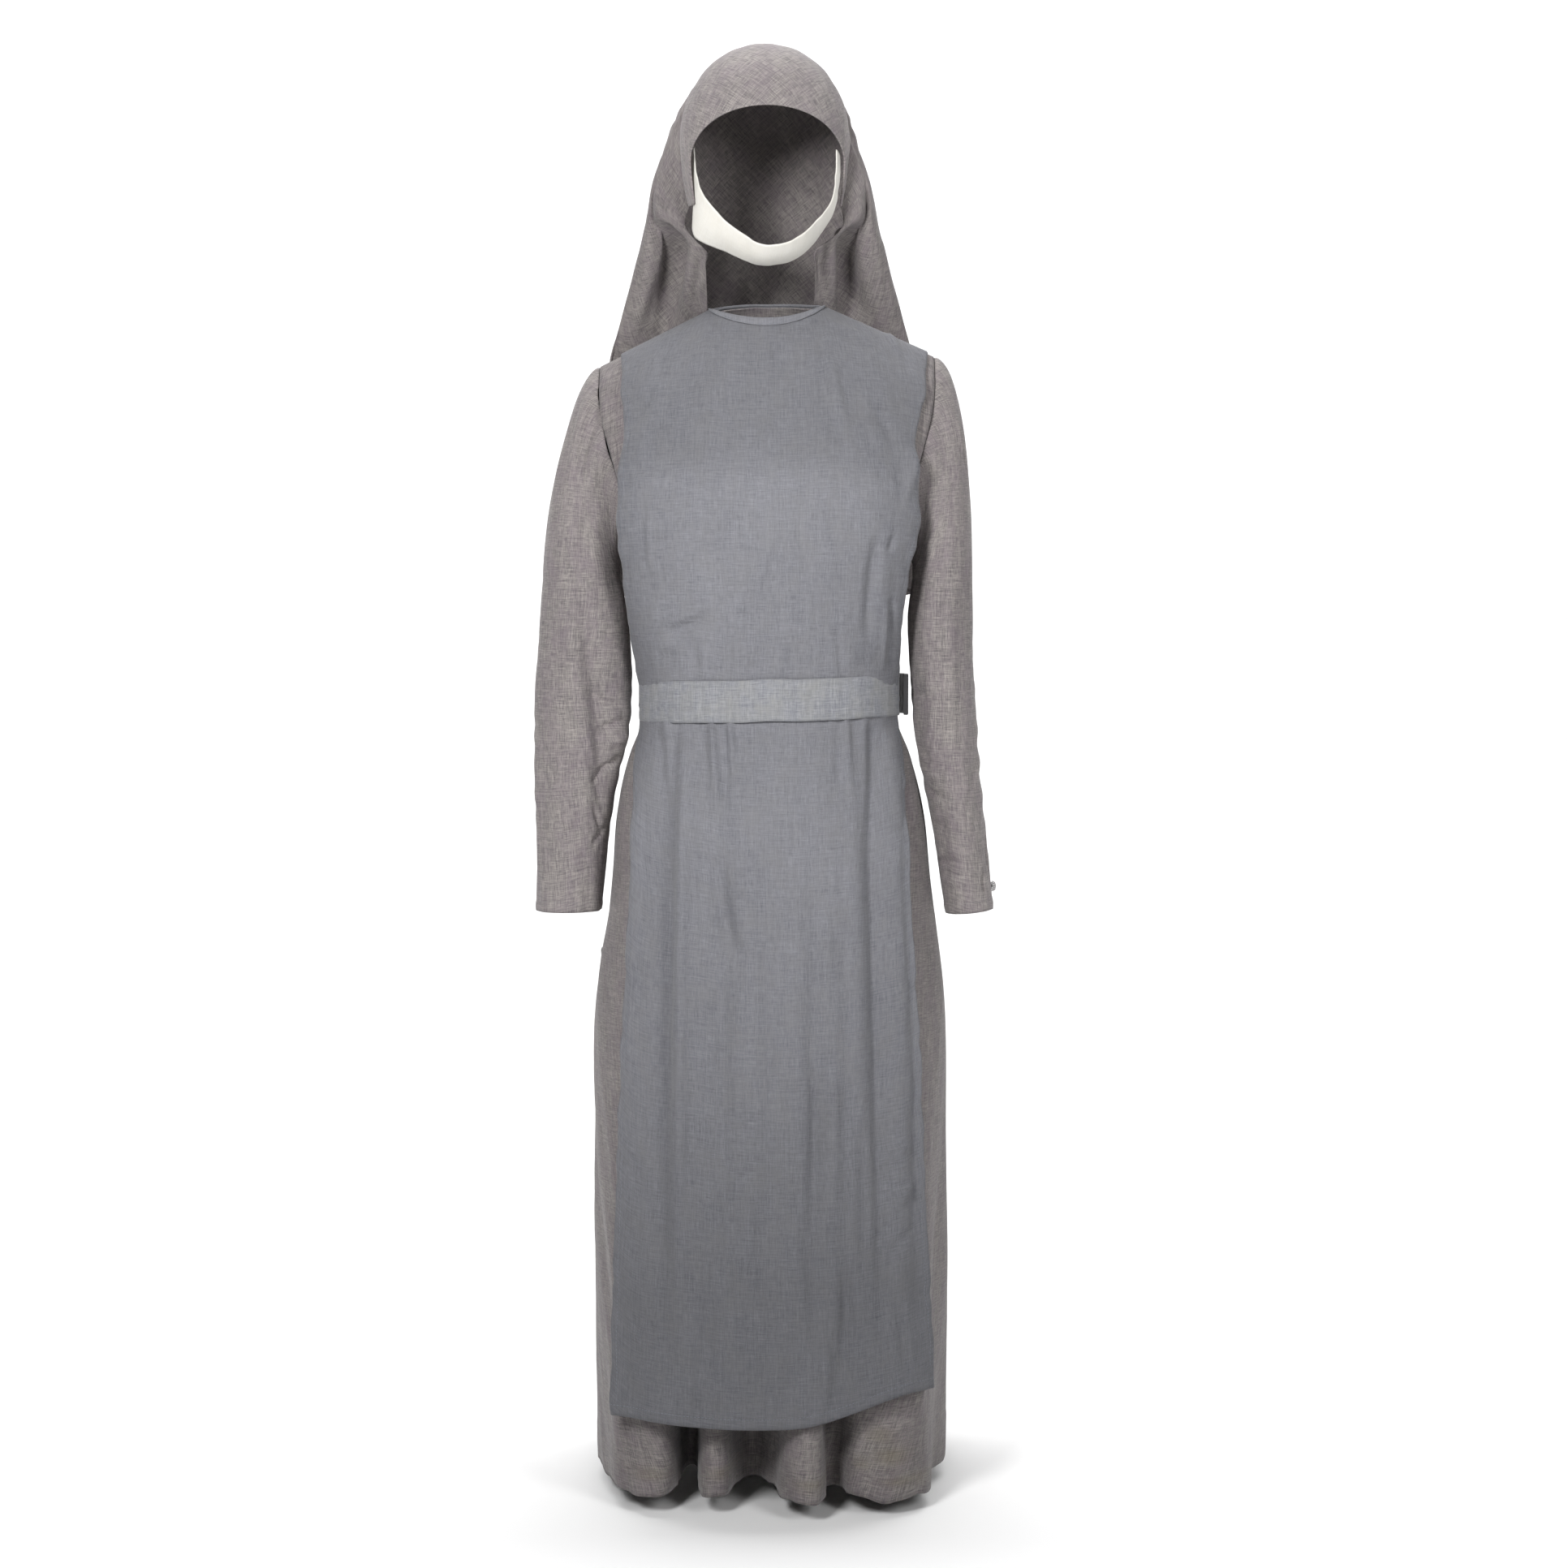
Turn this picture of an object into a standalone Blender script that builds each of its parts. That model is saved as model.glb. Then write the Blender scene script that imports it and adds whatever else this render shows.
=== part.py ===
"""Nun's habit, hollow and in its worn pose: tunic with set-in sleeves, scapular, belt with clasp,
cap band, veil, chin band and covered buttons.

Metres, +Z up. The front faces -Y and the wearer's left is +X. The origin is at the base of the
neck, midway between the points where the shoulder seams meet the neckline.
"""

import math
from collections import namedtuple

import bpy
import numpy as np
from mathutils.bvhtree import BVHTree

# Driving sizes
NECK_TO_HEM = 1.330
ARMPIT_Z = -0.275
SHOULDER_TIP_X = 0.193
SHOULDER_SLOPE = 0.465
SHOULDER_LEAN = 0.030  # the wearer's left shoulder sits higher by this slope
NECK_HALF_WIDTH = 0.067
NECK_CORNER_Z = 0.0045
NECK_FRONT_Z = -0.013
NECK_BACK_Z = 0.012
SHOULDER_ROUNDING = 2.5
WAIST_Z = -0.4435
BELT_HEIGHT = 0.048
BELT_TILT = 0.025  # the belt climbs towards the wearer's left by this slope
CUFF_Z = -0.690
VEIL_HEM_Z = -0.320

# Walls and seams
TUNIC_WALL = 0.0015
SCAPULAR_WALL = 0.0012
VEIL_WALL = 0.0013
CAP_WALL = 0.0020
CHIN_WALL = 0.0012
BELT_WALL = 0.0025
SEAM = 0.0004
LAID_ON = 0.0008  # the least gap between a layer and the one it lies on
HANGING_EASE = 0.0016  # how much more the scapular stands off where it hangs free

# Seam and panel proportions
NECK_SHARE = 0.36  # the share of a panel's columns that end at the neckline
ARMHOLE_STEPS = 8

# Colours, linear
WARM_GREY = (0.235, 0.212, 0.212)
BLUE_GREY = (0.165, 0.180, 0.210)
BELT_GREY = (0.240, 0.240, 0.262)
IVORY = (0.860, 0.835, 0.780)
BLACK = (0.010, 0.010, 0.011)
DARK_METAL = (0.060, 0.060, 0.065)

# The tunic's outer form. Above the armpit the half width is that of the form before the armholes
# are cut away.
BodySection = namedtuple("BodySection", "z centre_x half_width front back square")
BODY = (
    BodySection(0.040, 0.000, 0.240, 0.122, 0.106, 2.0),
    BodySection(-0.100, 0.000, 0.222, 0.122, 0.108, 2.0),
    BodySection(-0.160, 0.000, 0.205, 0.124, 0.110, 2.0),
    BodySection(-0.220, 0.000, 0.178, 0.125, 0.110, 2.0),
    BodySection(-0.275, 0.000, 0.162, 0.125, 0.108, 2.0),
    BodySection(-0.350, 0.001, 0.157, 0.118, 0.102, 2.0),
    BodySection(-0.405, 0.002, 0.1505, 0.110, 0.099, 2.0),
    BodySection(-0.4435, 0.003, 0.1475, 0.106, 0.098, 2.0),
    BodySection(-0.472, 0.003, 0.1490, 0.108, 0.101, 2.0),
    BodySection(-0.505, 0.003, 0.1620, 0.121, 0.118, 2.0),
    BodySection(-0.585, 0.004, 0.181, 0.141, 0.141, 2.1),
    BodySection(-0.640, 0.005, 0.186, 0.149, 0.151, 2.15),
    BodySection(-0.690, 0.005, 0.191, 0.156, 0.159, 2.2),
    BodySection(-0.780, 0.004, 0.203, 0.166, 0.170, 2.35),
    BodySection(-0.970, 0.004, 0.207, 0.180, 0.182, 2.5),
    BodySection(-1.160, 0.005, 0.208, 0.190, 0.190, 2.7),
    BodySection(-1.330, 0.005, 0.206, 0.198, 0.196, 2.8),
)

# The turns of the hem's folds, seen from above, from the right side seam to the left. The angle
# is where the fold starts at the waist, heading is the way the hem runs through the turn, and
# reach is how broad the turn is.
Turn = namedtuple("Turn", "angle x y heading reach steps")
FRONT_TURNS = (
    Turn(-70.0, -0.183, -0.098, -74.0, 0.080, 2),
    Turn(-55.0, -0.161, -0.158, -35.0, 0.060, 2),
    Turn(-40.0, -0.122, -0.184, 2.0, 0.085, 3),
    Turn(-27.0, -0.0885, -0.064, 0.0, 0.056, 5),
    Turn(-18.0, -0.0600, -0.190, 0.0, 0.090, 5),
    Turn(-4.5, -0.0180, -0.097, 0.0, 0.072, 4),
    Turn(11.0, 0.0470, -0.217, 5.0, 0.105, 4),
    Turn(21.0, 0.0740, -0.140, 0.0, 0.060, 4),
    Turn(35.0, 0.1180, -0.189, 0.0, 0.110, 4),
    Turn(52.0, 0.1770, -0.166, 50.0, 0.050, 3),
    Turn(69.0, 0.1880, -0.090, 84.0, 0.080, 2),
)
BACK_TURNS = (
    Turn(-70.0, -0.192, 0.085, 76.0, 0.080, 2),
    Turn(-54.0, -0.158, 0.178, 0.0, 0.070, 3),
    Turn(-42.0, -0.122, 0.110, 0.0, 0.060, 4),
    Turn(-26.0, -0.076, 0.196, 0.0, 0.080, 4),
    Turn(-11.0, -0.030, 0.128, 0.0, 0.060, 4),
    Turn(4.0, 0.018, 0.202, 0.0, 0.085, 4),
    Turn(18.0, 0.066, 0.116, 0.0, 0.060, 4),
    Turn(34.0, 0.114, 0.194, 0.0, 0.080, 4),
    Turn(48.0, 0.154, 0.132, 0.0, 0.046, 3),
    Turn(62.0, 0.194, 0.140, -45.0, 0.070, 3),
    Turn(78.0, 0.2115, 0.060, -88.0, 0.070, 2),
)
FOLD_TOP_Z = -0.540
FOLD_GROWTH = 1.25

# Levels of the tunic's rows below the armpit
TUNIC_LEVELS = (
    -0.315, -0.365, -0.4435, -0.490, -0.550, -0.630, -0.730, -0.850,
    -0.980, -1.110, -1.230, -1.330,
)

# The scapular: where its two edges are, the half width and squareness of the curve it hangs on,
# and how far its outer face stands off the tunic's.
ScapularSection = namedtuple("ScapularSection", "z right_edge left_edge reach square ease")
SCAPULAR_FRONT = (
    ScapularSection(0.040, -0.170, 0.187, 0.246, 2.0, 0.0030),
    ScapularSection(-0.042, -0.168, 0.185, 0.236, 2.0, 0.0030),
    ScapularSection(-0.100, -0.165, 0.180, 0.230, 2.1, 0.0034),
    ScapularSection(-0.160, -0.163, 0.169, 0.216, 2.2, 0.0045),
    ScapularSection(-0.200, -0.170, 0.174, 0.210, 2.3, 0.0060),
    ScapularSection(-0.235, -0.171, 0.176, 0.206, 2.3, 0.0065),
    ScapularSection(-0.290, -0.166, 0.165, 0.192, 2.2, 0.0060),
    ScapularSection(-0.370, -0.158, 0.155, 0.170, 2.1, 0.0045),
    ScapularSection(-0.415, -0.151, 0.153, 0.156, 2.0, 0.0023),
    ScapularSection(-0.4435, -0.1480, 0.151, 0.1505, 2.0, 0.0020),
    ScapularSection(-0.472, -0.1485, 0.152, 0.1520, 2.0, 0.0022),
    ScapularSection(-0.585, -0.154, 0.161, 0.184, 2.2, 0.0120),
    ScapularSection(-0.700, -0.158, 0.166, 0.203, 2.3, 0.0140),
    ScapularSection(-0.830, -0.165, 0.174, 0.214, 2.5, 0.0140),
    ScapularSection(-1.000, -0.171, 0.180, 0.222, 2.7, 0.0170),
    ScapularSection(-1.150, -0.175, 0.188, 0.226, 3.0, 0.0240),
    ScapularSection(-1.260, -0.176, 0.193, 0.228, 3.1, 0.0300),
)
SCAPULAR_BACK = (
    ScapularSection(0.040, -0.170, 0.187, 0.246, 2.0, 0.0030),
    ScapularSection(-0.042, -0.168, 0.185, 0.236, 2.0, 0.0030),
    ScapularSection(-0.100, -0.166, 0.178, 0.230, 2.1, 0.0032),
    ScapularSection(-0.200, -0.164, 0.170, 0.208, 2.2, 0.0036),
    ScapularSection(-0.300, -0.160, 0.164, 0.186, 2.1, 0.0036),
    ScapularSection(-0.4435, -0.144, 0.148, 0.1505, 2.0, 0.0020),
    ScapularSection(-0.472, -0.145, 0.149, 0.1520, 2.0, 0.0022),
    ScapularSection(-0.600, -0.154, 0.160, 0.190, 2.2, 0.0110),
    ScapularSection(-0.830, -0.164, 0.170, 0.214, 2.5, 0.0130),
    ScapularSection(-1.260, -0.174, 0.184, 0.222, 2.9, 0.0160),
)
EDGE_CROWDING = math.radians(72.0)  # how much closer its columns lie towards the edges
SCAPULAR_LEVELS = (
    -0.320, -0.370, -0.415, -0.4435, -0.475, -0.520, -0.585, -0.670,
    -0.770, -0.880, -0.990, -1.090, -1.170,
)
ScapularHem = namedtuple("ScapularHem", "right centre left")
FRONT_HEM = ScapularHem(-1.240, -1.246, -1.211)
BACK_HEM = ScapularHem(-1.244, -1.250, -1.240)

# Soft troughs that run down the scapular; the place is a share of the half width.
Trough = namedtuple("Trough", "place depth half_share top_z bottom_z")
FRONT_TROUGHS = (
    Trough(-0.78, 0.0085, 0.16, -0.50, -1.30),
    Trough(-0.30, 0.0040, 0.12, -0.47, -1.05),
    Trough(0.40, 0.0055, 0.14, -0.62, -1.30),
    Trough(0.83, 0.0080, 0.13, -0.49, -1.20),
)
BACK_TROUGHS = (
    Trough(-0.70, 0.0075, 0.16, -0.50, -1.30),
    Trough(-0.05, 0.0060, 0.16, -0.55, -1.30),
    Trough(0.62, 0.0075, 0.15, -0.50, -1.30),
)

# Sleeves, as ellipses on level cuts. Each hangs as the photo shows it.
SleeveSection = namedtuple("SleeveSection", "z centre_x centre_y across along")
RIGHT_SLEEVE = (
    SleeveSection(-0.305, -0.2170, 0.006, 0.0455, 0.0600),
    SleeveSection(-0.345, -0.2145, 0.006, 0.0520, 0.0580),
    SleeveSection(-0.390, -0.2138, 0.005, 0.0550, 0.0560),
    SleeveSection(-0.440, -0.2150, 0.002, 0.0565, 0.0530),
    SleeveSection(-0.490, -0.2165, -0.003, 0.0550, 0.0500),
    SleeveSection(-0.540, -0.2228, -0.009, 0.0480, 0.0470),
    SleeveSection(-0.590, -0.2258, -0.016, 0.0425, 0.0440),
    SleeveSection(-0.640, -0.2280, -0.022, 0.0398, 0.0420),
    SleeveSection(-0.690, -0.2305, -0.027, 0.0380, 0.0400),
)
LEFT_SLEEVE = (
    SleeveSection(-0.305, 0.2045, 0.006, 0.0350, 0.0640),
    SleeveSection(-0.345, 0.2025, 0.006, 0.0378, 0.0640),
    SleeveSection(-0.390, 0.2035, 0.005, 0.0374, 0.0620),
    SleeveSection(-0.440, 0.2060, 0.002, 0.0368, 0.0600),
    SleeveSection(-0.490, 0.2095, -0.003, 0.0360, 0.0570),
    SleeveSection(-0.540, 0.2160, -0.009, 0.0330, 0.0540),
    SleeveSection(-0.590, 0.2232, -0.014, 0.0304, 0.0510),
    SleeveSection(-0.640, 0.2295, -0.019, 0.0296, 0.0490),
    SleeveSection(-0.690, 0.2360, -0.023, 0.0285, 0.0470),
)
SleeveCap = namedtuple("SleeveCap", "outward downward cuff_slant")
RIGHT_CAP = SleeveCap(0.075, 0.130, 0.010)
LEFT_CAP = SleeveCap(0.090, 0.110, -0.100)
SLEEVE_CAP_STEPS = 7

# The head form that the cap band is sewn to fit, cloth included
HEAD_CENTRE = np.array((-0.0025, 0.015, 0.200))
HEAD_ACROSS = 0.0985
HEAD_ALONG = 0.115
HEAD_ABOVE = 0.111
HEAD_BELOW = 0.190
HEAD_SQUARE = 2.4
CAP_TIP_Z = 0.122
FACE_TOP_Z = 0.2260
FACE_WIDEST_Z = 0.170
FACE_CENTRE_X = 0.001
FACE_HALF_WIDTH = 0.0885
FACE_TIP_HALF_WIDTH = 0.0840
CAP_SEAM_TOP_Y = 0.036
CAP_SEAM_SIDE_Y = 0.006
CAP_SEAM_TIP_Y = -0.008
CAP_STEPS_ALONG = 36
CAP_STEPS_ACROSS = 6

# The veil's level cuts. The edge angle is where the free front edges are, from straight ahead.
VeilSection = namedtuple("VeilSection", "z half_width centre_y front back edge_angle")
VEIL = (
    VeilSection(0.311, 0.0980, 0.015, 0.060, 0.115, 46.0),
    VeilSection(0.200, 0.1110, 0.015, 0.056, 0.122, 46.0),
    VeilSection(0.150, 0.1270, 0.016, 0.054, 0.128, 40.0),
    VeilSection(0.105, 0.1360, 0.020, 0.054, 0.126, 30.0),
    VeilSection(0.050, 0.1510, 0.042, 0.052, 0.106, 25.0),
    VeilSection(0.000, 0.1660, 0.068, 0.040, 0.084, 22.0),
    VeilSection(-0.055, 0.1810, 0.098, 0.020, 0.058, 21.0),
    VeilSection(-0.110, 0.1830, 0.124, 0.010, 0.040, 24.0),
    VeilSection(-0.200, 0.1840, 0.136, 0.010, 0.036, 28.0),
    VeilSection(-0.330, 0.1850, 0.140, 0.012, 0.038, 32.0),
)
# Folds of the veil. The place is a share from the back centre to the right edge, -1, or the
# left edge, 1; low_share is what is left of the depth at the shoulders.
VeilFold = namedtuple("VeilFold", "place depth half_share top_z full_z low_share")
VEIL_FOLDS = (
    VeilFold(-0.73, 0.036, 0.085, 0.170, 0.060, 0.20),
    VeilFold(-0.34, 0.012, 0.110, 0.120, -0.050, 1.0),
    VeilFold(-0.13, 0.011, 0.090, 0.020, -0.150, 1.0),
    VeilFold(0.09, 0.013, 0.100, 0.040, -0.120, 1.0),
    VeilFold(0.31, 0.011, 0.100, 0.100, -0.060, 1.0),
    VeilFold(0.76, 0.038, 0.080, 0.180, 0.060, 0.20),
)
VEIL_CENTRE_X = -0.007
VEIL_STEPS_DOWN = 16
HEAD_ARC_RADIUS = 0.112

# The chin band, from the wearer's right temple under the chin to the left temple: the edge
# next to the face and the edge behind it.
ChinSection = namedtuple("ChinSection", "face_x face_y face_z back_x back_y back_z")
CHIN_BAND = (
    ChinSection(-0.0835, -0.0400, 0.186, -0.0870, -0.0160, 0.172),
    ChinSection(-0.0810, -0.0460, 0.158, -0.0850, -0.0180, 0.134),
    ChinSection(-0.0740, -0.0590, 0.134, -0.0805, -0.0240, 0.104),
    ChinSection(-0.0560, -0.0720, 0.109, -0.0690, -0.0340, 0.085),
    ChinSection(-0.0320, -0.0820, 0.087, -0.0440, -0.0460, 0.066),
    ChinSection(0.0000, -0.0890, 0.0705, -0.0020, -0.0540, 0.051),
    ChinSection(0.0240, -0.0850, 0.0740, 0.0250, -0.0500, 0.055),
    ChinSection(0.0440, -0.0770, 0.087, 0.0470, -0.0420, 0.070),
    ChinSection(0.0600, -0.0680, 0.103, 0.0630, -0.0320, 0.090),
    ChinSection(0.0730, -0.0560, 0.122, 0.0750, -0.0250, 0.112),
    ChinSection(0.0790, -0.0460, 0.150, 0.0815, -0.0190, 0.142),
    ChinSection(0.0800, -0.0400, 0.184, 0.0830, -0.0160, 0.174),
)
CHIN_STEPS_ALONG = 28
CHIN_STEPS_ACROSS = 4

# Belt, clasp and buttons
BELT_END_ANGLE = 94.0
BELT_END_GAP = 6.0
BELT_STEP_ANGLE = 8.0
CLASP_HEIGHT = 0.047
CLASP_THICKNESS = 0.0048
CLASP_ANGLES = (82.0, 107.0)
CLASP_STEPS = 5
CUFF_BUTTON_Z = -0.664
CUFF_BUTTON_RADIUS = 0.0062
CUFF_BUTTON_THICKNESS = 0.0050
SIDE_STUD_Y = 0.008
SIDE_STUD_Z = -0.743
SIDE_BUTTON_RADIUS = 0.0050
SIDE_BUTTON_THICKNESS = 0.0026
BUTTON_SIDES = 16


def smooth(low, high, value):
    """0 below low, 1 above high and an even ease between them; low may be above high."""
    share = np.clip((value - low) / (high - low), 0.0, 1.0)
    return share * share * (3.0 - 2.0 * share)


def even_ease(steps):
    """Shares from 0 to 1 that lie closer together near both ends."""
    return (1.0 - np.cos(np.linspace(0.0, math.pi, steps + 1))) / 2.0


def follow(table, column, z):
    """A column of a table at height z, on a smooth curve through its rows."""
    rows = sorted(table, key=lambda row: row.z)
    at = np.array([row.z for row in rows])
    value = np.array([getattr(row, column) for row in rows])
    slope = np.gradient(value, at)
    z = np.clip(np.asarray(z, float), at[0], at[-1])
    i = np.clip(np.searchsorted(at, z) - 1, 0, len(at) - 2)
    span = at[i + 1] - at[i]
    t = (z - at[i]) / span
    return (
        value[i] * (1 + 2 * t) * (1 - t) ** 2
        + value[i + 1] * t * t * (3 - 2 * t)
        + span * t * (1 - t) * (slope[i] * (1 - t) - slope[i + 1] * t)
    )


def through(points, share):
    """Points on a smooth curve through a list of points, at shares of its length from 0 to 1."""
    points = np.asarray(points, float)
    steps = np.linalg.norm(np.diff(points, axis=0), axis=1)
    at = np.concatenate([[0.0], np.cumsum(steps)]) / steps.sum()
    slope = np.gradient(points, at, axis=0)
    i = np.clip(np.searchsorted(at, share) - 1, 0, len(at) - 2)
    span = (at[i + 1] - at[i])[:, None]
    t = (np.asarray(share)[:, None] - at[i][:, None]) / span
    return (
        points[i] * (1 + 2 * t) * (1 - t) ** 2
        + points[i + 1] * t * t * (3 - 2 * t)
        + span * t * (1 - t) * (slope[i] * (1 - t) - slope[i + 1] * t)
    )


def shoulder_z(x, ease=0.0):
    """Height of the shoulder line at x."""
    away = np.abs(x)
    return NECK_CORNER_Z + SHOULDER_SLOPE * (NECK_HALF_WIDTH - away) + SHOULDER_LEAN * x + ease


def form_depth(x, z, side, ease=0.0, reach=None, square=None):
    """How far the body form reaches from the seam plane at x and z. side is front or back."""
    centre = follow(BODY, "centre_x", z)
    half = follow(BODY, "half_width", z) + ease if reach is None else reach
    power = follow(BODY, "square", z) if square is None else square
    share = np.clip(np.abs(x - centre) / half, 0.0, 1.0)
    round_section = (1.0 - share**power) ** (1.0 / power)
    rise = (z - ARMPIT_Z) / (shoulder_z(x, ease) - ARMPIT_Z)
    rise = np.clip(rise, 0.0, 1.0)
    over_shoulder = np.sqrt(1.0 - rise**SHOULDER_ROUNDING)
    return (follow(BODY, side, z) + ease) * round_section * over_shoulder


def ring_point(angle, z, side, ease=0.0):
    """(x, y) on the level cut at z, in the direction angle from the front or back centre."""
    a = follow(BODY, "half_width", z) + ease
    b = follow(BODY, side, z) + ease
    power = follow(BODY, "square", z)
    s, c = np.sin(np.radians(angle)), np.cos(np.radians(angle))
    r = (np.abs(s / a) ** power + np.abs(c / b) ** power) ** (-1.0 / power)
    way = -1.0 if side == "front" else 1.0
    return follow(BODY, "centre_x", z) + r * s, way * r * c


def hem_line(turns, side):
    """Angles of a panel's columns and the hem's (x, y) at each, on a curve through the turns."""
    way = -1.0 if side == "front" else 1.0
    ends = []
    for angle in (-90.0, 90.0):
        x, y = ring_point(angle, -NECK_TO_HEM, side)
        ends.append(Turn(angle, float(x), 0.0, way * -angle, 0.080, 2))
    turns = (ends[0], *turns, ends[1])
    angles, hem = [-90.0], [(turns[0].x, 0.0)]
    for before, after in zip(turns, turns[1:]):
        for t in even_ease(after.steps)[1:]:
            leave, arrive = np.radians(before.heading), np.radians(after.heading)
            x = (
                before.x * (1 + 2 * t) * (1 - t) ** 2
                + after.x * t * t * (3 - 2 * t)
                + before.reach * np.cos(leave) * t * (1 - t) ** 2
                - after.reach * np.cos(arrive) * t * t * (1 - t)
            )
            y = (
                before.y * (1 + 2 * t) * (1 - t) ** 2
                + after.y * t * t * (3 - 2 * t)
                + before.reach * np.sin(leave) * t * (1 - t) ** 2
                - after.reach * np.sin(arrive) * t * t * (1 - t)
            )
            angles.append(before.angle + (after.angle - before.angle) * t)
            hem.append((x, y))
    return np.array(angles), np.array(hem)


def skirt_row(angles, hem, z, side):
    """The tunic's points at a level below the armpit: the plain cut, moved towards the hem's folds."""
    x, y = ring_point(angles, z, side)
    end_x, end_y = ring_point(angles, -NECK_TO_HEM, side)
    grown = np.clip((FOLD_TOP_Z - z) / (FOLD_TOP_Z + NECK_TO_HEM), 0.0, 1.0) ** FOLD_GROWTH
    moved_x, moved_y = x + grown * (hem[:, 0] - end_x), y + grown * (hem[:, 1] - end_y)
    return np.stack([moved_x, moved_y, np.full(len(angles), z)], axis=-1)


def armhole_x(rise):
    """Distance of the armhole's edge from the middle, at a share of the height to the shoulder."""
    foot = follow(BODY, "half_width", ARMPIT_Z)
    return foot + (SHOULDER_TIP_X - foot) * smooth(0.12, 0.86, rise)


def top_edge(share, side, tip_right=-SHOULDER_TIP_X, tip_left=SHOULDER_TIP_X, ease=0.0):
    """(x, z) of a panel's top edge: shoulder seam, neckline, shoulder seam. share is -1 to 1."""
    neck_z = NECK_FRONT_Z if side == "front" else NECK_BACK_Z
    along_neck = np.clip(share / NECK_SHARE, -1.0, 1.0)
    neck_x = NECK_HALF_WIDTH * np.sin(along_neck * math.pi / 2)
    tip = np.where(share < 0, tip_right, tip_left)
    out = np.clip((np.abs(share) - NECK_SHARE) / (1.0 - NECK_SHARE), 0.0, 1.0)
    x = neck_x + out * (tip - neck_x)
    corner = shoulder_z(np.sign(share) * NECK_HALF_WIDTH)
    neckline = neck_z + (corner - neck_z) * (neck_x / NECK_HALF_WIDTH) ** 2
    return x, np.where(out > 0, shoulder_z(x), neckline) + ease


def tunic_panel(side, turns):
    """The outer points of the tunic's front or back, rows from the shoulders to the hem."""
    angles, hem = hem_line(turns, side)
    share = angles / 90.0
    way = -1.0 if side == "front" else 1.0
    top_x, top_z = top_edge(share, side)
    foot_x = ring_point(angles, ARMPIT_Z, side)[0]
    rows = []
    for rise in even_ease(ARMHOLE_STEPS)[:0:-1]:
        z = ARMPIT_Z + rise * (top_z - ARMPIT_Z)
        straight = foot_x * (1.0 - rise) + top_x * rise
        off = armhole_x(rise) - (foot_x[-1] * (1.0 - rise) + SHOULDER_TIP_X * rise)
        x = straight + np.sign(share) * np.abs(share) ** 4 * off
        rows.append(np.stack([x, way * form_depth(x, z, side), z], axis=-1))
    for z in (ARMPIT_Z, *TUNIC_LEVELS):
        rows.append(skirt_row(angles, hem, z, side))
    grid = np.array(rows)
    grid[..., 1] += way * SEAM / 2
    return grid


def grid_normals(grid, closed=False):
    """Unit normals of a grid of points, one for each, from the faces round it."""
    wide = np.concatenate([grid[:, -1:], grid, grid[:, :1]], axis=1) if closed else grid
    total = np.zeros(wide.shape)
    across = wide[:, 1:] - wide[:, :-1]
    down = wide[1:] - wide[:-1]
    for i in (0, 1):
        for j in (0, 1):
            a = across[i : across.shape[0] - 1 + i]
            d = down[:, j : down.shape[1] - 1 + j]
            face = np.cross(d, a)
            total[i : total.shape[0] - 1 + i, j : total.shape[1] - 1 + j] += face
    normals = total[:, 1:-1] if closed else total
    return normals / np.maximum(np.linalg.norm(normals, axis=-1, keepdims=True), 1e-12)


def facing_out(grid, normals, inside):
    """The normals, turned if need be so that they point away from a point or line inside."""
    away = ((grid - inside) * normals).sum()
    return normals if away > 0 else -normals


def grid_faces(grid, closed=False):
    """Two triangles for each cell of a grid of points, cut along the shorter diagonal."""
    rows, columns = grid.shape[:2]
    index = np.arange(rows * columns).reshape(rows, columns)
    if closed:
        index = np.concatenate([index, index[:, :1]], axis=1)
    points = grid.reshape(-1, 3)
    cells = np.stack([index[:-1, :-1], index[1:, :-1], index[1:, 1:], index[:-1, 1:]], axis=-1)
    faces = []
    for a, b, c, d in cells.reshape(-1, 4).tolist():
        if np.linalg.norm(points[a] - points[c]) <= np.linalg.norm(points[b] - points[d]) + 1e-6:
            faces += [(a, b, c), (a, c, d)]
        else:
            faces += [(a, b, d), (b, c, d)]
    return faces


def surface_of(*sheets):
    """A search tree over sheets, each a grid of points with its normals."""
    points, faces = [], []
    for grid, normals in sheets:
        start = len(points)
        points += grid.reshape(-1, 3).tolist()
        for a, b, c in grid_faces(grid):
            corners = grid.reshape(-1, 3)[[a, b, c]]
            up = np.cross(corners[1] - corners[0], corners[2] - corners[0]) @ normals.reshape(-1, 3)[a]
            faces.append((start + a, start + b, start + c) if up > 0 else (start + a, start + c, start + b))
    return BVHTree.FromPolygons(points, faces)


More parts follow.
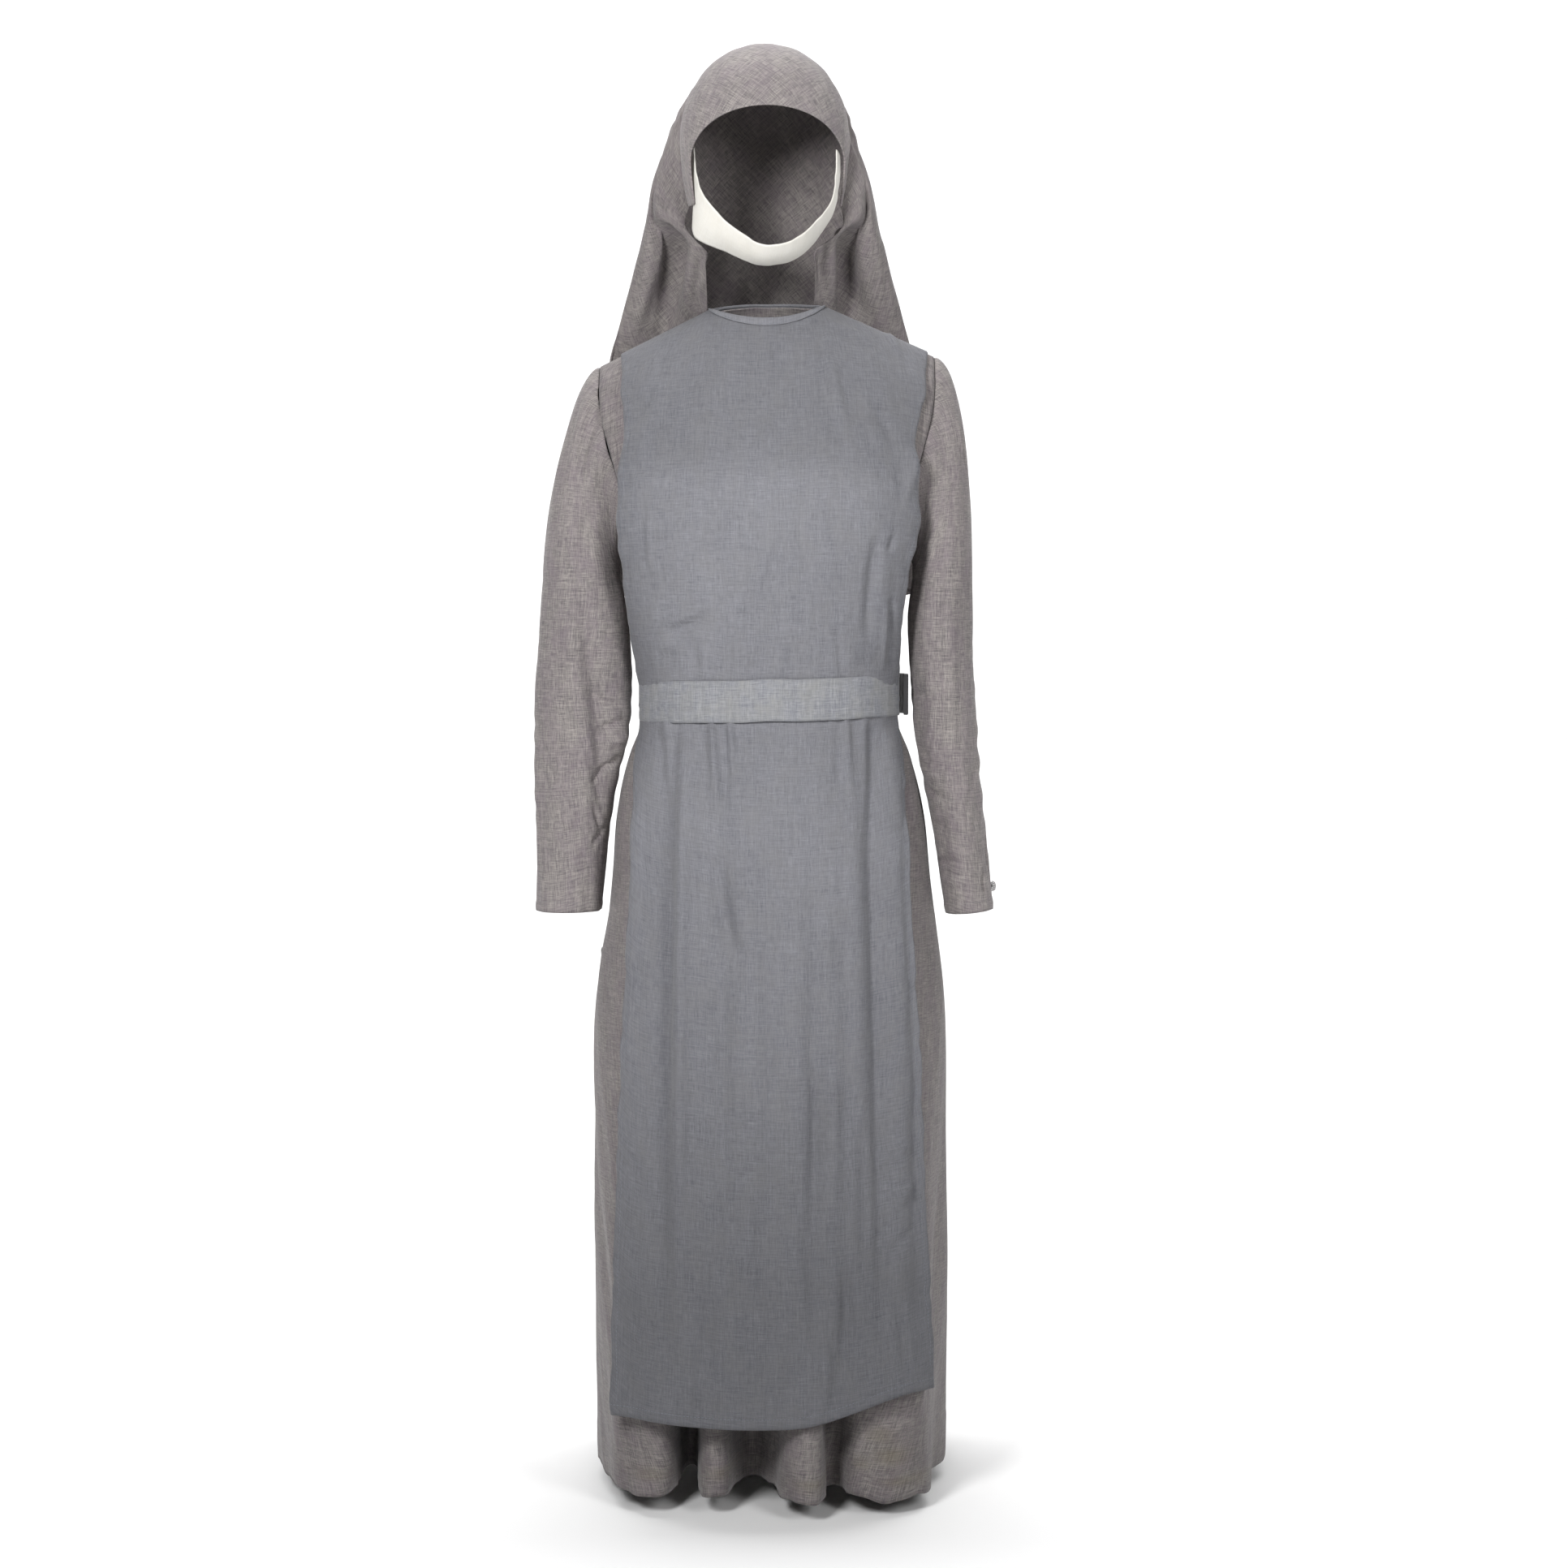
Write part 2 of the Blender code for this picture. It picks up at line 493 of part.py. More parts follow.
def laid_over(grid, under, gap, deepest=0.015, rounds=10):
    """The grid moved, where it must, to stay at least a gap above a surface."""
    grid = grid.copy()
    rows, columns = grid.shape[:2]
    gap = np.broadcast_to(gap, (rows, columns))
    cell = ((0, 0), (1, 0), (0, 1), (1, 1))
    blends = (
        ((0, 0),), ((0, 0), (1, 0)), ((0, 0), (0, 1)), ((0, 0), (1, 1)), ((0, 1), (1, 0)), cell,
    )
    for _ in range(rounds):
        push = np.zeros(grid.shape)
        for i in range(rows):
            for j in range(columns):
                for blend in blends:
                    at = [(i + di, j + dj) for di, dj in blend]
                    if max(a for a, _ in at) >= rows or max(b for _, b in at) >= columns:
                        continue
                    point = sum(grid[a] for a in at) / len(at)
                    near, normal, _, distance = under.find_nearest(point.tolist(), 0.03)
                    if near is None:
                        continue
                    height = (point - np.array(near)) @ np.array(normal)
                    wanted = max(gap[a] for a in at)
                    beside = abs(height) < 0.8 * distance
                    if beside or height >= wanted or distance > max(wanted, deepest):
                        continue
                    short = wanted - (distance if height > 0 else -distance)
                    for a in at:
                        if short > np.linalg.norm(push[a]):
                            push[a] = short * np.array(normal)
        if not push.any():
            break
        grid += push
    return grid


def flattened(normals, axis):
    """Unit normals with one component taken out, for a seam that lies in a plane."""
    normals = normals.copy()
    normals[..., axis] = 0.0
    return normals / np.linalg.norm(normals, axis=-1, keepdims=True)


def material(name, colour, roughness=0.9, metallic=0.0):
    found = bpy.data.materials.get(name)
    if found:
        return found
    made = bpy.data.materials.new(name)
    made.use_nodes = True
    shader = made.node_tree.nodes["Principled BSDF"]
    shader.inputs["Base Color"].default_value = (*colour, 1.0)
    shader.inputs["Roughness"].default_value = roughness
    shader.inputs["Metallic"].default_value = metallic
    return made


def place(name, points, faces, look, sharp_angle=40.0):
    """A mesh object made from points and faces."""
    mesh = bpy.data.meshes.new(name)
    mesh.from_pydata([tuple(p) for p in points], [], [tuple(f) for f in faces])
    mesh.validate()
    mesh.shade_smooth()
    mesh.set_sharp_from_angle(angle=math.radians(sharp_angle))
    mesh.materials.append(look)
    thing = bpy.data.objects.new(name, mesh)
    bpy.context.scene.collection.objects.link(thing)
    return thing


def wall(name, outer, inner, look, closed=False):
    """A closed solid between an outer and an inner grid of points; closed joins the columns."""
    rows, columns = outer.shape[:2]
    count = rows * columns
    outside = grid_faces(outer, closed)
    faces = outside + [(a + count, c + count, b + count) for a, b, c in outside]

    def rim(line):
        for a, b in zip(line, line[1:]):
            faces.append((a, b + count, b))
            faces.append((a, a + count, b + count))

    index = np.arange(count).reshape(rows, columns)
    if closed:
        index = np.concatenate([index, index[:, :1]], axis=1)
    rim(index[0, ::-1].tolist())
    rim(index[-1].tolist())
    if not closed:
        rim(index[:, 0].tolist())
        rim(index[::-1, -1].tolist())
    points = np.concatenate([outer.reshape(-1, 3), inner.reshape(-1, 3)])
    a, b, c = (points[np.array(faces)[:, k]] for k in range(3))
    if (a * np.cross(b, c)).sum() < 0:
        faces = [face[::-1] for face in faces]
    return place(name, points, faces, look)


def spine_like(grid):
    """For each point, the point of the middle line at its height."""
    middle = np.zeros(grid.shape)
    middle[..., 2] = grid[..., 2] - 0.02
    return middle


def tunic_front_and_back(look):
    """The two body panels, and the rims of their armholes for the sleeves to meet."""
    rims, sheets = {}, []
    for side, turns in (("front", FRONT_TURNS), ("back", BACK_TURNS)):
        outer = tunic_panel(side, turns)
        normals = facing_out(outer, grid_normals(outer), spine_like(outer))
        steps = ARMHOLE_STEPS + 1
        shoulder = np.abs(outer[0, :, 0]) >= NECK_HALF_WIDTH - 1e-6
        normals[0, shoulder] = flattened(normals[0, shoulder], 1)
        normals[steps:, 0] = flattened(normals[steps:, 0], 1)
        normals[steps:, -1] = flattened(normals[steps:, -1], 1)
        normals[steps - 1, 0] = (-1.0, 0.0, 0.0)
        normals[steps - 1, -1] = (1.0, 0.0, 0.0)
        inner = outer - TUNIC_WALL * normals
        wall(f"tunic_{side}", outer, inner, look)
        sheets.append((outer, normals))
        rims[side] = {
            "right": (outer[:steps, 0], inner[:steps, 0], outer[:steps, 1]),
            "left": (outer[:steps, -1], inner[:steps, -1], outer[:steps, -2]),
        }
    return rims, sheets


def armhole_ring(rims, which):
    """The armhole's rim all round, from the shoulder down the front and up the back."""
    front, back = rims["front"][which], rims["back"][which]
    joined = [np.concatenate([f, b[::-1]]) for f, b in zip(front, back)]
    edge, inner, before = joined
    middle = len(edge) // 2
    for ring in (edge, inner, before):
        ring[middle - 1] = (ring[middle - 1] + ring[middle]) / 2
        ring[0] = (ring[0] + ring[-1]) / 2
    keep = np.delete(np.arange(len(edge)), [middle, len(edge) - 1])
    return edge[keep], inner[keep], before[keep]


def sleeve(name, rims, which, sections, cap, look):
    """A set-in sleeve: a cap eased from the armhole into level cuts, then a tube to the cuff."""
    edge, edge_inner, before = armhole_ring(rims, which)
    way = -1.0 if which == "right" else 1.0
    onward = edge - before
    onward /= np.linalg.norm(onward, axis=1, keepdims=True)
    onward = onward * 0.5 + np.array((way * 0.5, 0.0, 0.0))
    onward /= np.linalg.norm(onward, axis=1, keepdims=True)
    turn = np.linspace(0.0, 2.0 * math.pi, len(edge), endpoint=False)
    height = (1.0 + np.cos(turn)) / 2.0
    gap = 2.4 * SEAM + 0.0012 * (1.0 - height[:, None]) ** 4
    start = edge + gap * onward

    def level_cut(z):
        cx, cy = follow(sections, "centre_x", z), follow(sections, "centre_y", z)
        across, along = follow(sections, "across", z), follow(sections, "along", z)
        x = cx + way * across * np.cos(turn)
        y = cy - along * np.sin(turn)
        slant = cap.cuff_slant * (x - cx) * smooth(-0.62, CUFF_Z, z)
        return np.stack([x, y, z - way * slant + 0 * x], axis=-1)

    first = level_cut(sections[0].z)
    leave = onward * (0.035 + cap.outward * height)[:, None]
    arrive = np.zeros(first.shape)
    arrive[:, 2] = -(0.03 + cap.downward * height)
    rows = []
    for t in np.linspace(0.0, 1.0, SLEEVE_CAP_STEPS):
        rows.append(
            start * (1 + 2 * t) * (1 - t) ** 2
            + first * t * t * (3 - 2 * t)
            + leave * t * (1 - t) ** 2
            - arrive * t * t * (1 - t)
        )
    for section in sections[1:]:
        rows.append(level_cut(section.z))
    outer = np.array(rows)
    centre = outer.mean(axis=1, keepdims=True)
    normals = facing_out(outer, grid_normals(outer, closed=True), centre)
    inner = outer - TUNIC_WALL * normals
    inner[0] = edge_inner + gap * onward
    wall(name, outer, inner, look, closed=True)
    joined = [np.concatenate([grid, grid[:, :1]], axis=1) for grid in (outer, normals)]
    return surface_of(joined)


def trough_depth(troughs, share, z):
    total = 0.0 * share
    for trough in troughs:
        near = np.exp(-(((share - trough.place) / trough.half_share) ** 2))
        run = smooth(trough.top_z, trough.top_z - 0.10, z)
        run = run * (1.0 - smooth(trough.bottom_z + 0.12, trough.bottom_z, z))
        total = total + trough.depth * near * run
    return total


def scapular_panel(side, table, troughs, hem, columns):
    """The outer points of the scapular's front or back."""
    way = -1.0 if side == "front" else 1.0
    neck = np.linspace(-NECK_SHARE, NECK_SHARE, columns["neck"] + 1)
    out = np.linspace(NECK_SHARE, 1.0, columns["shoulder"] + 1)[1:]
    share = np.concatenate([-out[::-1], neck, out])

    def edges(z):
        return follow(table, "right_edge", z), follow(table, "left_edge", z)

    def across(z, spread):
        right, left = edges(z)
        out = np.abs(np.sin(spread * EDGE_CROWDING) / math.sin(EDGE_CROWDING))
        return np.where(spread < 0, right, left) * out

    tip_z = float(shoulder_z(0.17))
    tip_right, tip_left = (float(x) for x in edges(tip_z))
    top_ease = follow(table, "ease", tip_z)
    top_x, top_z = top_edge(share, side, tip_right, tip_left, top_ease)
    rows = []
    foot_x = across(ARMPIT_Z, share)
    for rise in even_ease(ARMHOLE_STEPS)[::-1]:
        z = ARMPIT_Z + rise * (top_z - ARMPIT_Z)
        x = foot_x * (1.0 - rise) + top_x * rise
        edge = np.where(share < 0, foot_x[0], foot_x[-1]) * (1.0 - rise)
        edge = edge + np.where(share < 0, tip_right, tip_left) * rise
        x = x + np.abs(share) ** 4 * (across(z, np.sign(share)) - edge)
        y = form_depth(
            x, z, side, follow(table, "ease", z), follow(table, "reach", z), follow(table, "square", z)
        )
        rows.append(np.stack([x, way * y, z], axis=-1))
    corner = np.where(share < 0, hem.right, hem.left)
    hem_z = hem.centre + (corner - hem.centre) * smooth(0.04, 0.80, np.abs(share))
    for level in (*SCAPULAR_LEVELS, hem_z):
        z = level + 0.0 * share
        x = across(z, share)
        y = form_depth(
            x, z, side, follow(table, "ease", z), follow(table, "reach", z), follow(table, "square", z)
        ) - trough_depth(troughs, share, z)
        rows.append(np.stack([x, way * y, z], axis=-1))
    grid = np.array(rows)
    grid[..., 1] += way * SEAM / 2
    return grid, np.abs(share) <= NECK_SHARE + 1e-6


def scapular_and_binding(look, tunic):
    """The scapular's panels, joined at the shoulders, and the narrow binding of its neck."""
    plans = (
        ("front", SCAPULAR_FRONT, FRONT_TROUGHS, FRONT_HEM, {"neck": 8, "shoulder": 6}),
        ("back", SCAPULAR_BACK, BACK_TROUGHS, BACK_HEM, {"neck": 6, "shoulder": 6}),
    )
    under = surface_of(*tunic)
    sheets = []
    for side, table, troughs, hem, columns in plans:
        way = -1.0 if side == "front" else 1.0
        outer, at_neck = scapular_panel(side, table, troughs, hem, columns)
        seam_y = outer[0, :, 1].copy()
        free = smooth(WAIST_Z - 0.05, WAIST_Z - 0.14, outer[..., 2])
        outer = laid_over(outer, under, SCAPULAR_WALL + LAID_ON + HANGING_EASE * free)
        outer[0, ~at_neck, 1] = seam_y[~at_neck]
        outer[..., 1] = way * np.maximum(way * outer[..., 1], SEAM / 2)
        normals = facing_out(outer, grid_normals(outer), spine_like(outer))
        shoulder = ~at_neck
        first = int(np.argmax(at_neck))
        shoulder[[first, len(at_neck) - 1 - first]] = True
        normals[0, shoulder] = flattened(normals[0, shoulder], 1)
        wall(f"scapular_{side}", outer, outer - SCAPULAR_WALL * normals, look)
        strip, away = outer[:2, at_neck], normals[:2, at_neck]
        wall(f"neck_binding_{side}", strip + (SEAM + SCAPULAR_WALL) * away, strip + SEAM * away, look)
        sheets.append((outer, normals))
    return sheets


def belt_ring(angle, ease):
    """(x, y) of the waist at an angle from the front centre, all the way round."""
    turned = (angle + 180.0) % 360.0 - 180.0
    x_front, y_front = ring_point(turned, WAIST_Z, "front", ease)
    x_back, y_back = ring_point(180.0 - turned, WAIST_Z, "back", ease)
    at_front = np.abs(turned) <= 90.0
    return np.where(at_front, x_front, x_back), np.where(at_front, y_front, y_back)


def belt_band(name, angles, under, gap, thickness, height, look, rows=3):
    """A taut band round the waist over a surface; returns its outer points and normals."""
    x, y = belt_ring(angles, SCAPULAR_WALL)
    levels = np.linspace(height / 2, -height / 2, rows)
    z = WAIST_Z + BELT_TILT * x[None, :] + levels[:, None]
    start = np.stack([np.broadcast_to(x, z.shape), np.broadcast_to(y, z.shape), z], axis=-1)
    laid = laid_over(start, under, gap)
    out = np.hypot(laid[..., 0], laid[..., 1]).argmax(axis=0)
    inner = start.copy()
    inner[..., :2] = laid[out, np.arange(len(angles)), :2]
    normals = facing_out(inner, flattened(grid_normals(inner), 2), spine_like(inner))
    outer = inner + thickness * normals
    return wall(name, outer, inner, look), (outer, normals)


def belt_and_clasp(cloth, clasp_look, layers):
    """The cloth belt, open under the clasp, and the hard clasp that closes it at the left side."""
    start = BELT_END_ANGLE + BELT_END_GAP / 2
    end = BELT_END_ANGLE - BELT_END_GAP / 2 + 360.0
    angles = np.linspace(start, end, round((end - start) / BELT_STEP_ANGLE) + 1)
    belt, sheet = belt_band("belt", angles, surface_of(*layers), 1.4 * LAID_ON, BELT_WALL, BELT_HEIGHT, cloth)
    clasp, _ = belt_band(
        "belt_clasp", np.linspace(*CLASP_ANGLES, CLASP_STEPS), surface_of(sheet), 1.5 * LAID_ON,
        CLASP_THICKNESS, CLASP_HEIGHT, clasp_look, rows=2,
    )
    bevel = clasp.modifiers.new("edges", "BEVEL")
    bevel.width = 0.0009
    bevel.segments = 2
    bevel.limit_method = "ANGLE"
    bevel.angle_limit = math.radians(50)


def on_head(points):
    """Points moved along rays from the head's centre on to the head form."""
    away = np.abs(points - HEAD_CENTRE)
    upright = np.where(points[..., 2] > HEAD_CENTRE[2], HEAD_ABOVE, HEAD_BELOW)
    level = (away[..., 0] / HEAD_ACROSS) ** HEAD_SQUARE + (away[..., 1] / HEAD_ALONG) ** HEAD_SQUARE
    size = np.sqrt(level ** (2.0 / HEAD_SQUARE) + (away[..., 2] / upright) ** 2)
    return HEAD_CENTRE + (points - HEAD_CENTRE) / size[..., None]


def head_front_y(x, z):
    """How far forward the head form comes at x and z."""
    upright = np.where(z > HEAD_CENTRE[2], HEAD_ABOVE, HEAD_BELOW)
    level = np.maximum(1.0 - ((z - HEAD_CENTRE[2]) / upright) ** 2, 0.0) ** (HEAD_SQUARE / 2)
    left_over = level - np.abs((x - HEAD_CENTRE[0]) / HEAD_ACROSS) ** HEAD_SQUARE
    return HEAD_CENTRE[1] - HEAD_ALONG * np.maximum(left_over, 0.02) ** (1.0 / HEAD_SQUARE)


def face_edge(t):
    """The cap band's front edge, t from -1 at the right cheek to 1 at the left cheek."""
    bend = np.clip(np.abs(t) / 0.72, 0.0, 1.0) * math.pi / 2
    below = np.clip((np.abs(t) - 0.72) / 0.28, 0.0, 1.0)
    half = FACE_HALF_WIDTH * np.sin(bend) + (FACE_TIP_HALF_WIDTH - FACE_HALF_WIDTH) * below**1.6
    x = FACE_CENTRE_X + np.sign(t) * half
    z = FACE_WIDEST_Z + (FACE_TOP_Z - FACE_WIDEST_Z) * np.cos(bend) + (CAP_TIP_Z - FACE_WIDEST_Z) * below
    return np.stack([x, head_front_y(x, z), z], axis=-1)


def cap_seam(t):
    """The line over the head where the cap band ends and the veil begins."""
    lowest = math.acos((CAP_TIP_Z - HEAD_CENTRE[2]) / HEAD_BELOW)
    bend = t * lowest
    down = np.abs(bend) / lowest
    y = CAP_SEAM_TOP_Y + (CAP_SEAM_SIDE_Y - CAP_SEAM_TOP_Y) * smooth(0.0, 0.6, down)
    y = y + (CAP_SEAM_TIP_Y - CAP_SEAM_SIDE_Y) * smooth(0.6, 1.0, down)
    upright = np.where(np.cos(bend) > 0, HEAD_ABOVE, HEAD_BELOW)
    size = np.sqrt(1.0 - ((y - HEAD_CENTRE[1]) / HEAD_ALONG) ** 2)
    x = HEAD_CENTRE[0] + HEAD_ACROSS * size * np.sin(bend)
    z = HEAD_CENTRE[2] + upright * size * np.cos(bend)
    return on_head(np.stack([x, y, z], axis=-1))


def cap_band(look):
    """The fitted band over the crown and round the face; returns its rear rim."""
    t = np.linspace(-1.0, 1.0, CAP_STEPS_ALONG + 1)
    front, rear = face_edge(t), cap_seam(t)
    rows = [on_head(front * (1 - w) + rear * w) for w in np.linspace(0.0, 1.0, CAP_STEPS_ACROSS + 1)]
    outer = np.array(rows)
    normals = facing_out(outer, grid_normals(outer), HEAD_CENTRE)
    inner = outer - CAP_WALL * normals
    wall("cap_band", outer, inner, look)
    onward = outer[-1] - outer[-2]
    onward /= np.linalg.norm(onward, axis=1, keepdims=True)
    lining = (inner, -normals)
    return (t, outer[-1], normals[-1], onward), lining


def veil_cut(t, angle, z):
    """(x, y) of the veil's level cuts; t is the column's place and angle is from straight ahead."""
    dome = np.sqrt(np.clip(1.0 - (np.maximum(z - HEAD_CENTRE[2], 0.0) / HEAD_ABOVE) ** 2, 0.0, 1.0))
    s, c = np.sin(np.radians(angle)), np.cos(np.radians(angle))
    depth = np.where(c > 0, follow(VEIL, "front", z), follow(VEIL, "back", z))
    x = VEIL_CENTRE_X + follow(VEIL, "half_width", z) * dome * s
    y = follow(VEIL, "centre_y", z) - depth * dome * c
    for fold in VEIL_FOLDS:
        near = np.exp(-(((t - fold.place) / fold.half_share) ** 2))
        grown = smooth(fold.top_z, fold.full_z, z) * (1.0 - (1.0 - fold.low_share) * smooth(0.05, -0.06, z))
        inward = 1.0 if abs(fold.place) > 0.5 else -1.0
        y = y + inward * fold.depth * near * grown
    return x, y


def veil(look, seam, layers):
    """The veil: sewn to the cap band over the crown, falling behind the shoulders."""
    t, start, start_normals, onward = seam
    start = start + 2.0 * SEAM * onward
    first_angle = np.degrees(
        np.arctan2(np.abs(start[:, 0] - HEAD_CENTRE[0]) / HEAD_ACROSS, (HEAD_CENTRE[1] - start[:, 1]) / HEAD_ALONG)
    )
    above = np.clip((start[:, 2] - HEAD_CENTRE[2]) / HEAD_ABOVE, 0.0, 1.0)
    dome_angle = np.arccos(above)
    dome_length = np.where(start[:, 2] > HEAD_CENTRE[2], HEAD_ARC_RADIUS * (math.pi / 2 - dome_angle), 0.0)
    top_z = np.minimum(start[:, 2], HEAD_CENTRE[2])
    length = dome_length + top_z - (VEIL_HEM_Z - 0.012 * np.cos(t * math.pi))
    rows = []
    for v in np.linspace(0.0, 1.0, VEIL_STEPS_DOWN + 1):
        s = length * v
        bend = dome_angle + s / HEAD_ARC_RADIUS
        on_dome = HEAD_CENTRE[2] + HEAD_ABOVE * np.cos(np.minimum(bend, math.pi / 2))
        z = np.where(s < dome_length, on_dome, top_z - (s - dome_length))
        edge = follow(VEIL, "edge_angle", z)
        spread = edge + (180.0 - edge) * (1.0 - np.abs(t)) ** 1.45
        around = first_angle + (spread - first_angle) * smooth(0.0, 0.42 - 0.28 * np.abs(t) ** 3, v)
        x, y = veil_cut(t, np.where(t < 0, -1.0, 1.0) * around, z)
        rows.append(np.stack([x, y, z], axis=-1))
    outer = np.array(rows)
    fade = 1.0 - smooth(0.0, 0.16, np.linspace(0.0, 1.0, VEIL_STEPS_DOWN + 1))
    outer += (start - outer[0]) * fade[:, None, None]
    outer = laid_over(outer, surface_of(*layers), VEIL_WALL + 3.0 * LAID_ON, deepest=0.03, rounds=14)
    normals = facing_out(outer, grid_normals(outer), np.array((0.0, 0.03, 0.1)))
    normals[0] = start_normals
    wall("veil", outer, outer - VEIL_WALL * normals, look)
    return outer


def chin_band(look, lining):
    """The white band under the chin, sewn inside the cap band at both temples."""
    share = np.linspace(0.0, 1.0, CHIN_STEPS_ALONG + 1)
    face = through([(c.face_x, c.face_y, c.face_z) for c in CHIN_BAND], share)
    back = through([(c.back_x, c.back_y, c.back_z) for c in CHIN_BAND], share)
    across = np.linspace(0.0, 1.0, CHIN_STEPS_ACROSS + 1)[:, None, None]
    outer = face * (1 - across) + back * across
    inside = np.array((0.0, -0.03, 0.16))
    normals = facing_out(outer, grid_normals(outer), inside)
    outer = outer + normals * 0.003 * np.sin(across * math.pi)
    outer = laid_over(outer, surface_of(lining), LAID_ON)
    normals = facing_out(outer, grid_normals(outer), inside)
    return wall("chin_band", outer, outer - CHIN_WALL * normals, look)


def button(name, centre, direction, radius, thickness, look, dome=0.35):
    """A round button with a domed face, standing on its flat back."""
    profile = [(0.0, 1.0), (0.45, 0.94), (0.80, 0.74), (1.0, dome), (1.0, 0.15), (0.86, 0.0), (0.0, 0.0)]
    axis = np.array(direction, float)
    axis /= np.linalg.norm(axis)
    side = np.cross(axis, (0.0, 0.0, 1.0))
    side /= np.linalg.norm(side)
    up = np.cross(side, axis)
    points, faces = [np.array(centre) + axis * thickness], []
    rings = profile[1:-1]
    for share, height in rings:
        for k in range(BUTTON_SIDES):
            turn = 2.0 * math.pi * k / BUTTON_SIDES
            out = side * math.cos(turn) + up * math.sin(turn)
            points.append(np.array(centre) + out * radius * share + axis * thickness * height)
    points.append(np.array(centre))
    last = len(points) - 1

    def at(ring, k):
        return 1 + ring * BUTTON_SIDES + k % BUTTON_SIDES

    for k in range(BUTTON_SIDES):
        faces.append((0, at(0, k), at(0, k + 1)))
        faces.append((last, at(len(rings) - 1, k + 1), at(len(rings) - 1, k)))
        for ring in range(len(rings) - 1):
            a, b, c, d = at(ring, k), at(ring + 1, k), at(ring + 1, k + 1), at(ring, k + 1)
            faces.append((a, b, c))
            faces.append((a, c, d))
    made = np.array(points)
    a, b, c = (made[np.array(faces)[:, k]] for k in range(3))
    if (a * np.cross(b, c)).sum() < 0:
        faces = [face[::-1] for face in faces]
    return place(name, made, faces, look)


def seated(tree, centre, direction, radius):
    """Where a disc that faces a direction comes to rest on a surface, a seam's gap above it."""
    axis = np.array(direction, float)
    axis /= np.linalg.norm(axis)
    side = np.cross(axis, (0.0, 0.0, 1.0))
    up = np.cross(side, axis)
    heights = []
    for turn in np.linspace(0.0, 2.0 * math.pi, BUTTON_SIDES, endpoint=False):
        for reach in (0.0, 0.5 * radius, radius):
            point = np.array(centre) + reach * (side * math.cos(turn) + up * math.sin(turn))
            hit = tree.ray_cast(point + 0.1 * axis, -axis)[0]
            if hit is not None:
                heights.append((np.array(hit) - np.array(centre)) @ axis)
    return np.array(centre) + axis * (max(heights) + SEAM)


def buttons(sleeves, tunic, cloth, metal):
    """A covered button on each cuff and a press stud beside the right side seam."""
    for which, sections, way in (("left", LEFT_SLEEVE, (1.0, 0.30, 0.0)), ("right", RIGHT_SLEEVE, (-0.15, 1.0, 0.0))):
        middle = [follow(sections, "centre_x", CUFF_BUTTON_Z), follow(sections, "centre_y", CUFF_BUTTON_Z), CUFF_BUTTON_Z]
        base = seated(sleeves[which], middle, way, CUFF_BUTTON_RADIUS)
        button(f"cuff_button_{which}", base, way, CUFF_BUTTON_RADIUS, CUFF_BUTTON_THICKNESS, cloth)
    base = seated(surface_of(*tunic), (-0.150, SIDE_STUD_Y, SIDE_STUD_Z), (-1.0, 0.0, 0.0), SIDE_BUTTON_RADIUS)
    button("side_stud", base, (-1.0, 0.0, 0.0), SIDE_BUTTON_RADIUS, SIDE_BUTTON_THICKNESS, metal)


def main():
    for thing in list(bpy.data.objects):
        bpy.data.objects.remove(thing)
    warm = material("warm_grey_linen", WARM_GREY)
    blue = material("blue_grey_linen", BLUE_GREY)
    belt_cloth = material("belt_linen", BELT_GREY)
    ivory = material("ivory_cotton", IVORY)
    black = material("black_plastic", BLACK, roughness=0.5)
    metal = material("dark_metal", DARK_METAL, roughness=0.4, metallic=0.8)

    rims, tunic = tunic_front_and_back(warm)
    sleeves = {
        "right": sleeve("sleeve_right", rims, "right", RIGHT_SLEEVE, RIGHT_CAP, warm),
        "left": sleeve("sleeve_left", rims, "left", LEFT_SLEEVE, LEFT_CAP, warm),
    }
    scapular = scapular_and_binding(blue, tunic)
    belt_and_clasp(belt_cloth, black, [*tunic, *scapular])
    seam, lining = cap_band(warm)
    veil(warm, seam, [*tunic, *scapular])
    chin_band(ivory, lining)
    buttons(sleeves, tunic, warm, metal)


main()
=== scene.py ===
"""Nun's habit in fine cloth: the same form as the solids, with folds, hems, seams and stitches.

Metres, +Z up. The front faces -Y and the wearer's left is +X. The origin is at the base of the
neck. Tables give the form; creases, hems and stitches are laid on it here.
"""

import math
from collections import namedtuple

import bpy
import numpy as np
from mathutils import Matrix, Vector
from mathutils.bvhtree import BVHTree


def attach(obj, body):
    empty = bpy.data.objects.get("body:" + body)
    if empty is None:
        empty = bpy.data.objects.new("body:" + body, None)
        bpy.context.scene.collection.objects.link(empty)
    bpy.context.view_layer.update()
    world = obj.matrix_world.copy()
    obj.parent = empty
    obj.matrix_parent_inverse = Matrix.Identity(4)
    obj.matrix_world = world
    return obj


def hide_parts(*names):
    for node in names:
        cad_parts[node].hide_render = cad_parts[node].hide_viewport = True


# Driving sizes
NECK_TO_HEM = 1.330
ARMPIT_Z = -0.275
SHOULDER_TIP_X = 0.193
SHOULDER_SLOPE = 0.465
SHOULDER_LEAN = 0.030  # the wearer's left shoulder sits higher by this slope
NECK_HALF_WIDTH = 0.067
NECK_CORNER_Z = 0.0045
NECK_FRONT_Z = -0.013
NECK_BACK_Z = 0.012
SHOULDER_ROUNDING = 2.5
WAIST_Z = -0.4435
BELT_HEIGHT = 0.048
BELT_TILT = 0.025  # the belt climbs towards the wearer's left by this slope
CUFF_Z = -0.690
VEIL_HEM_Z = -0.320

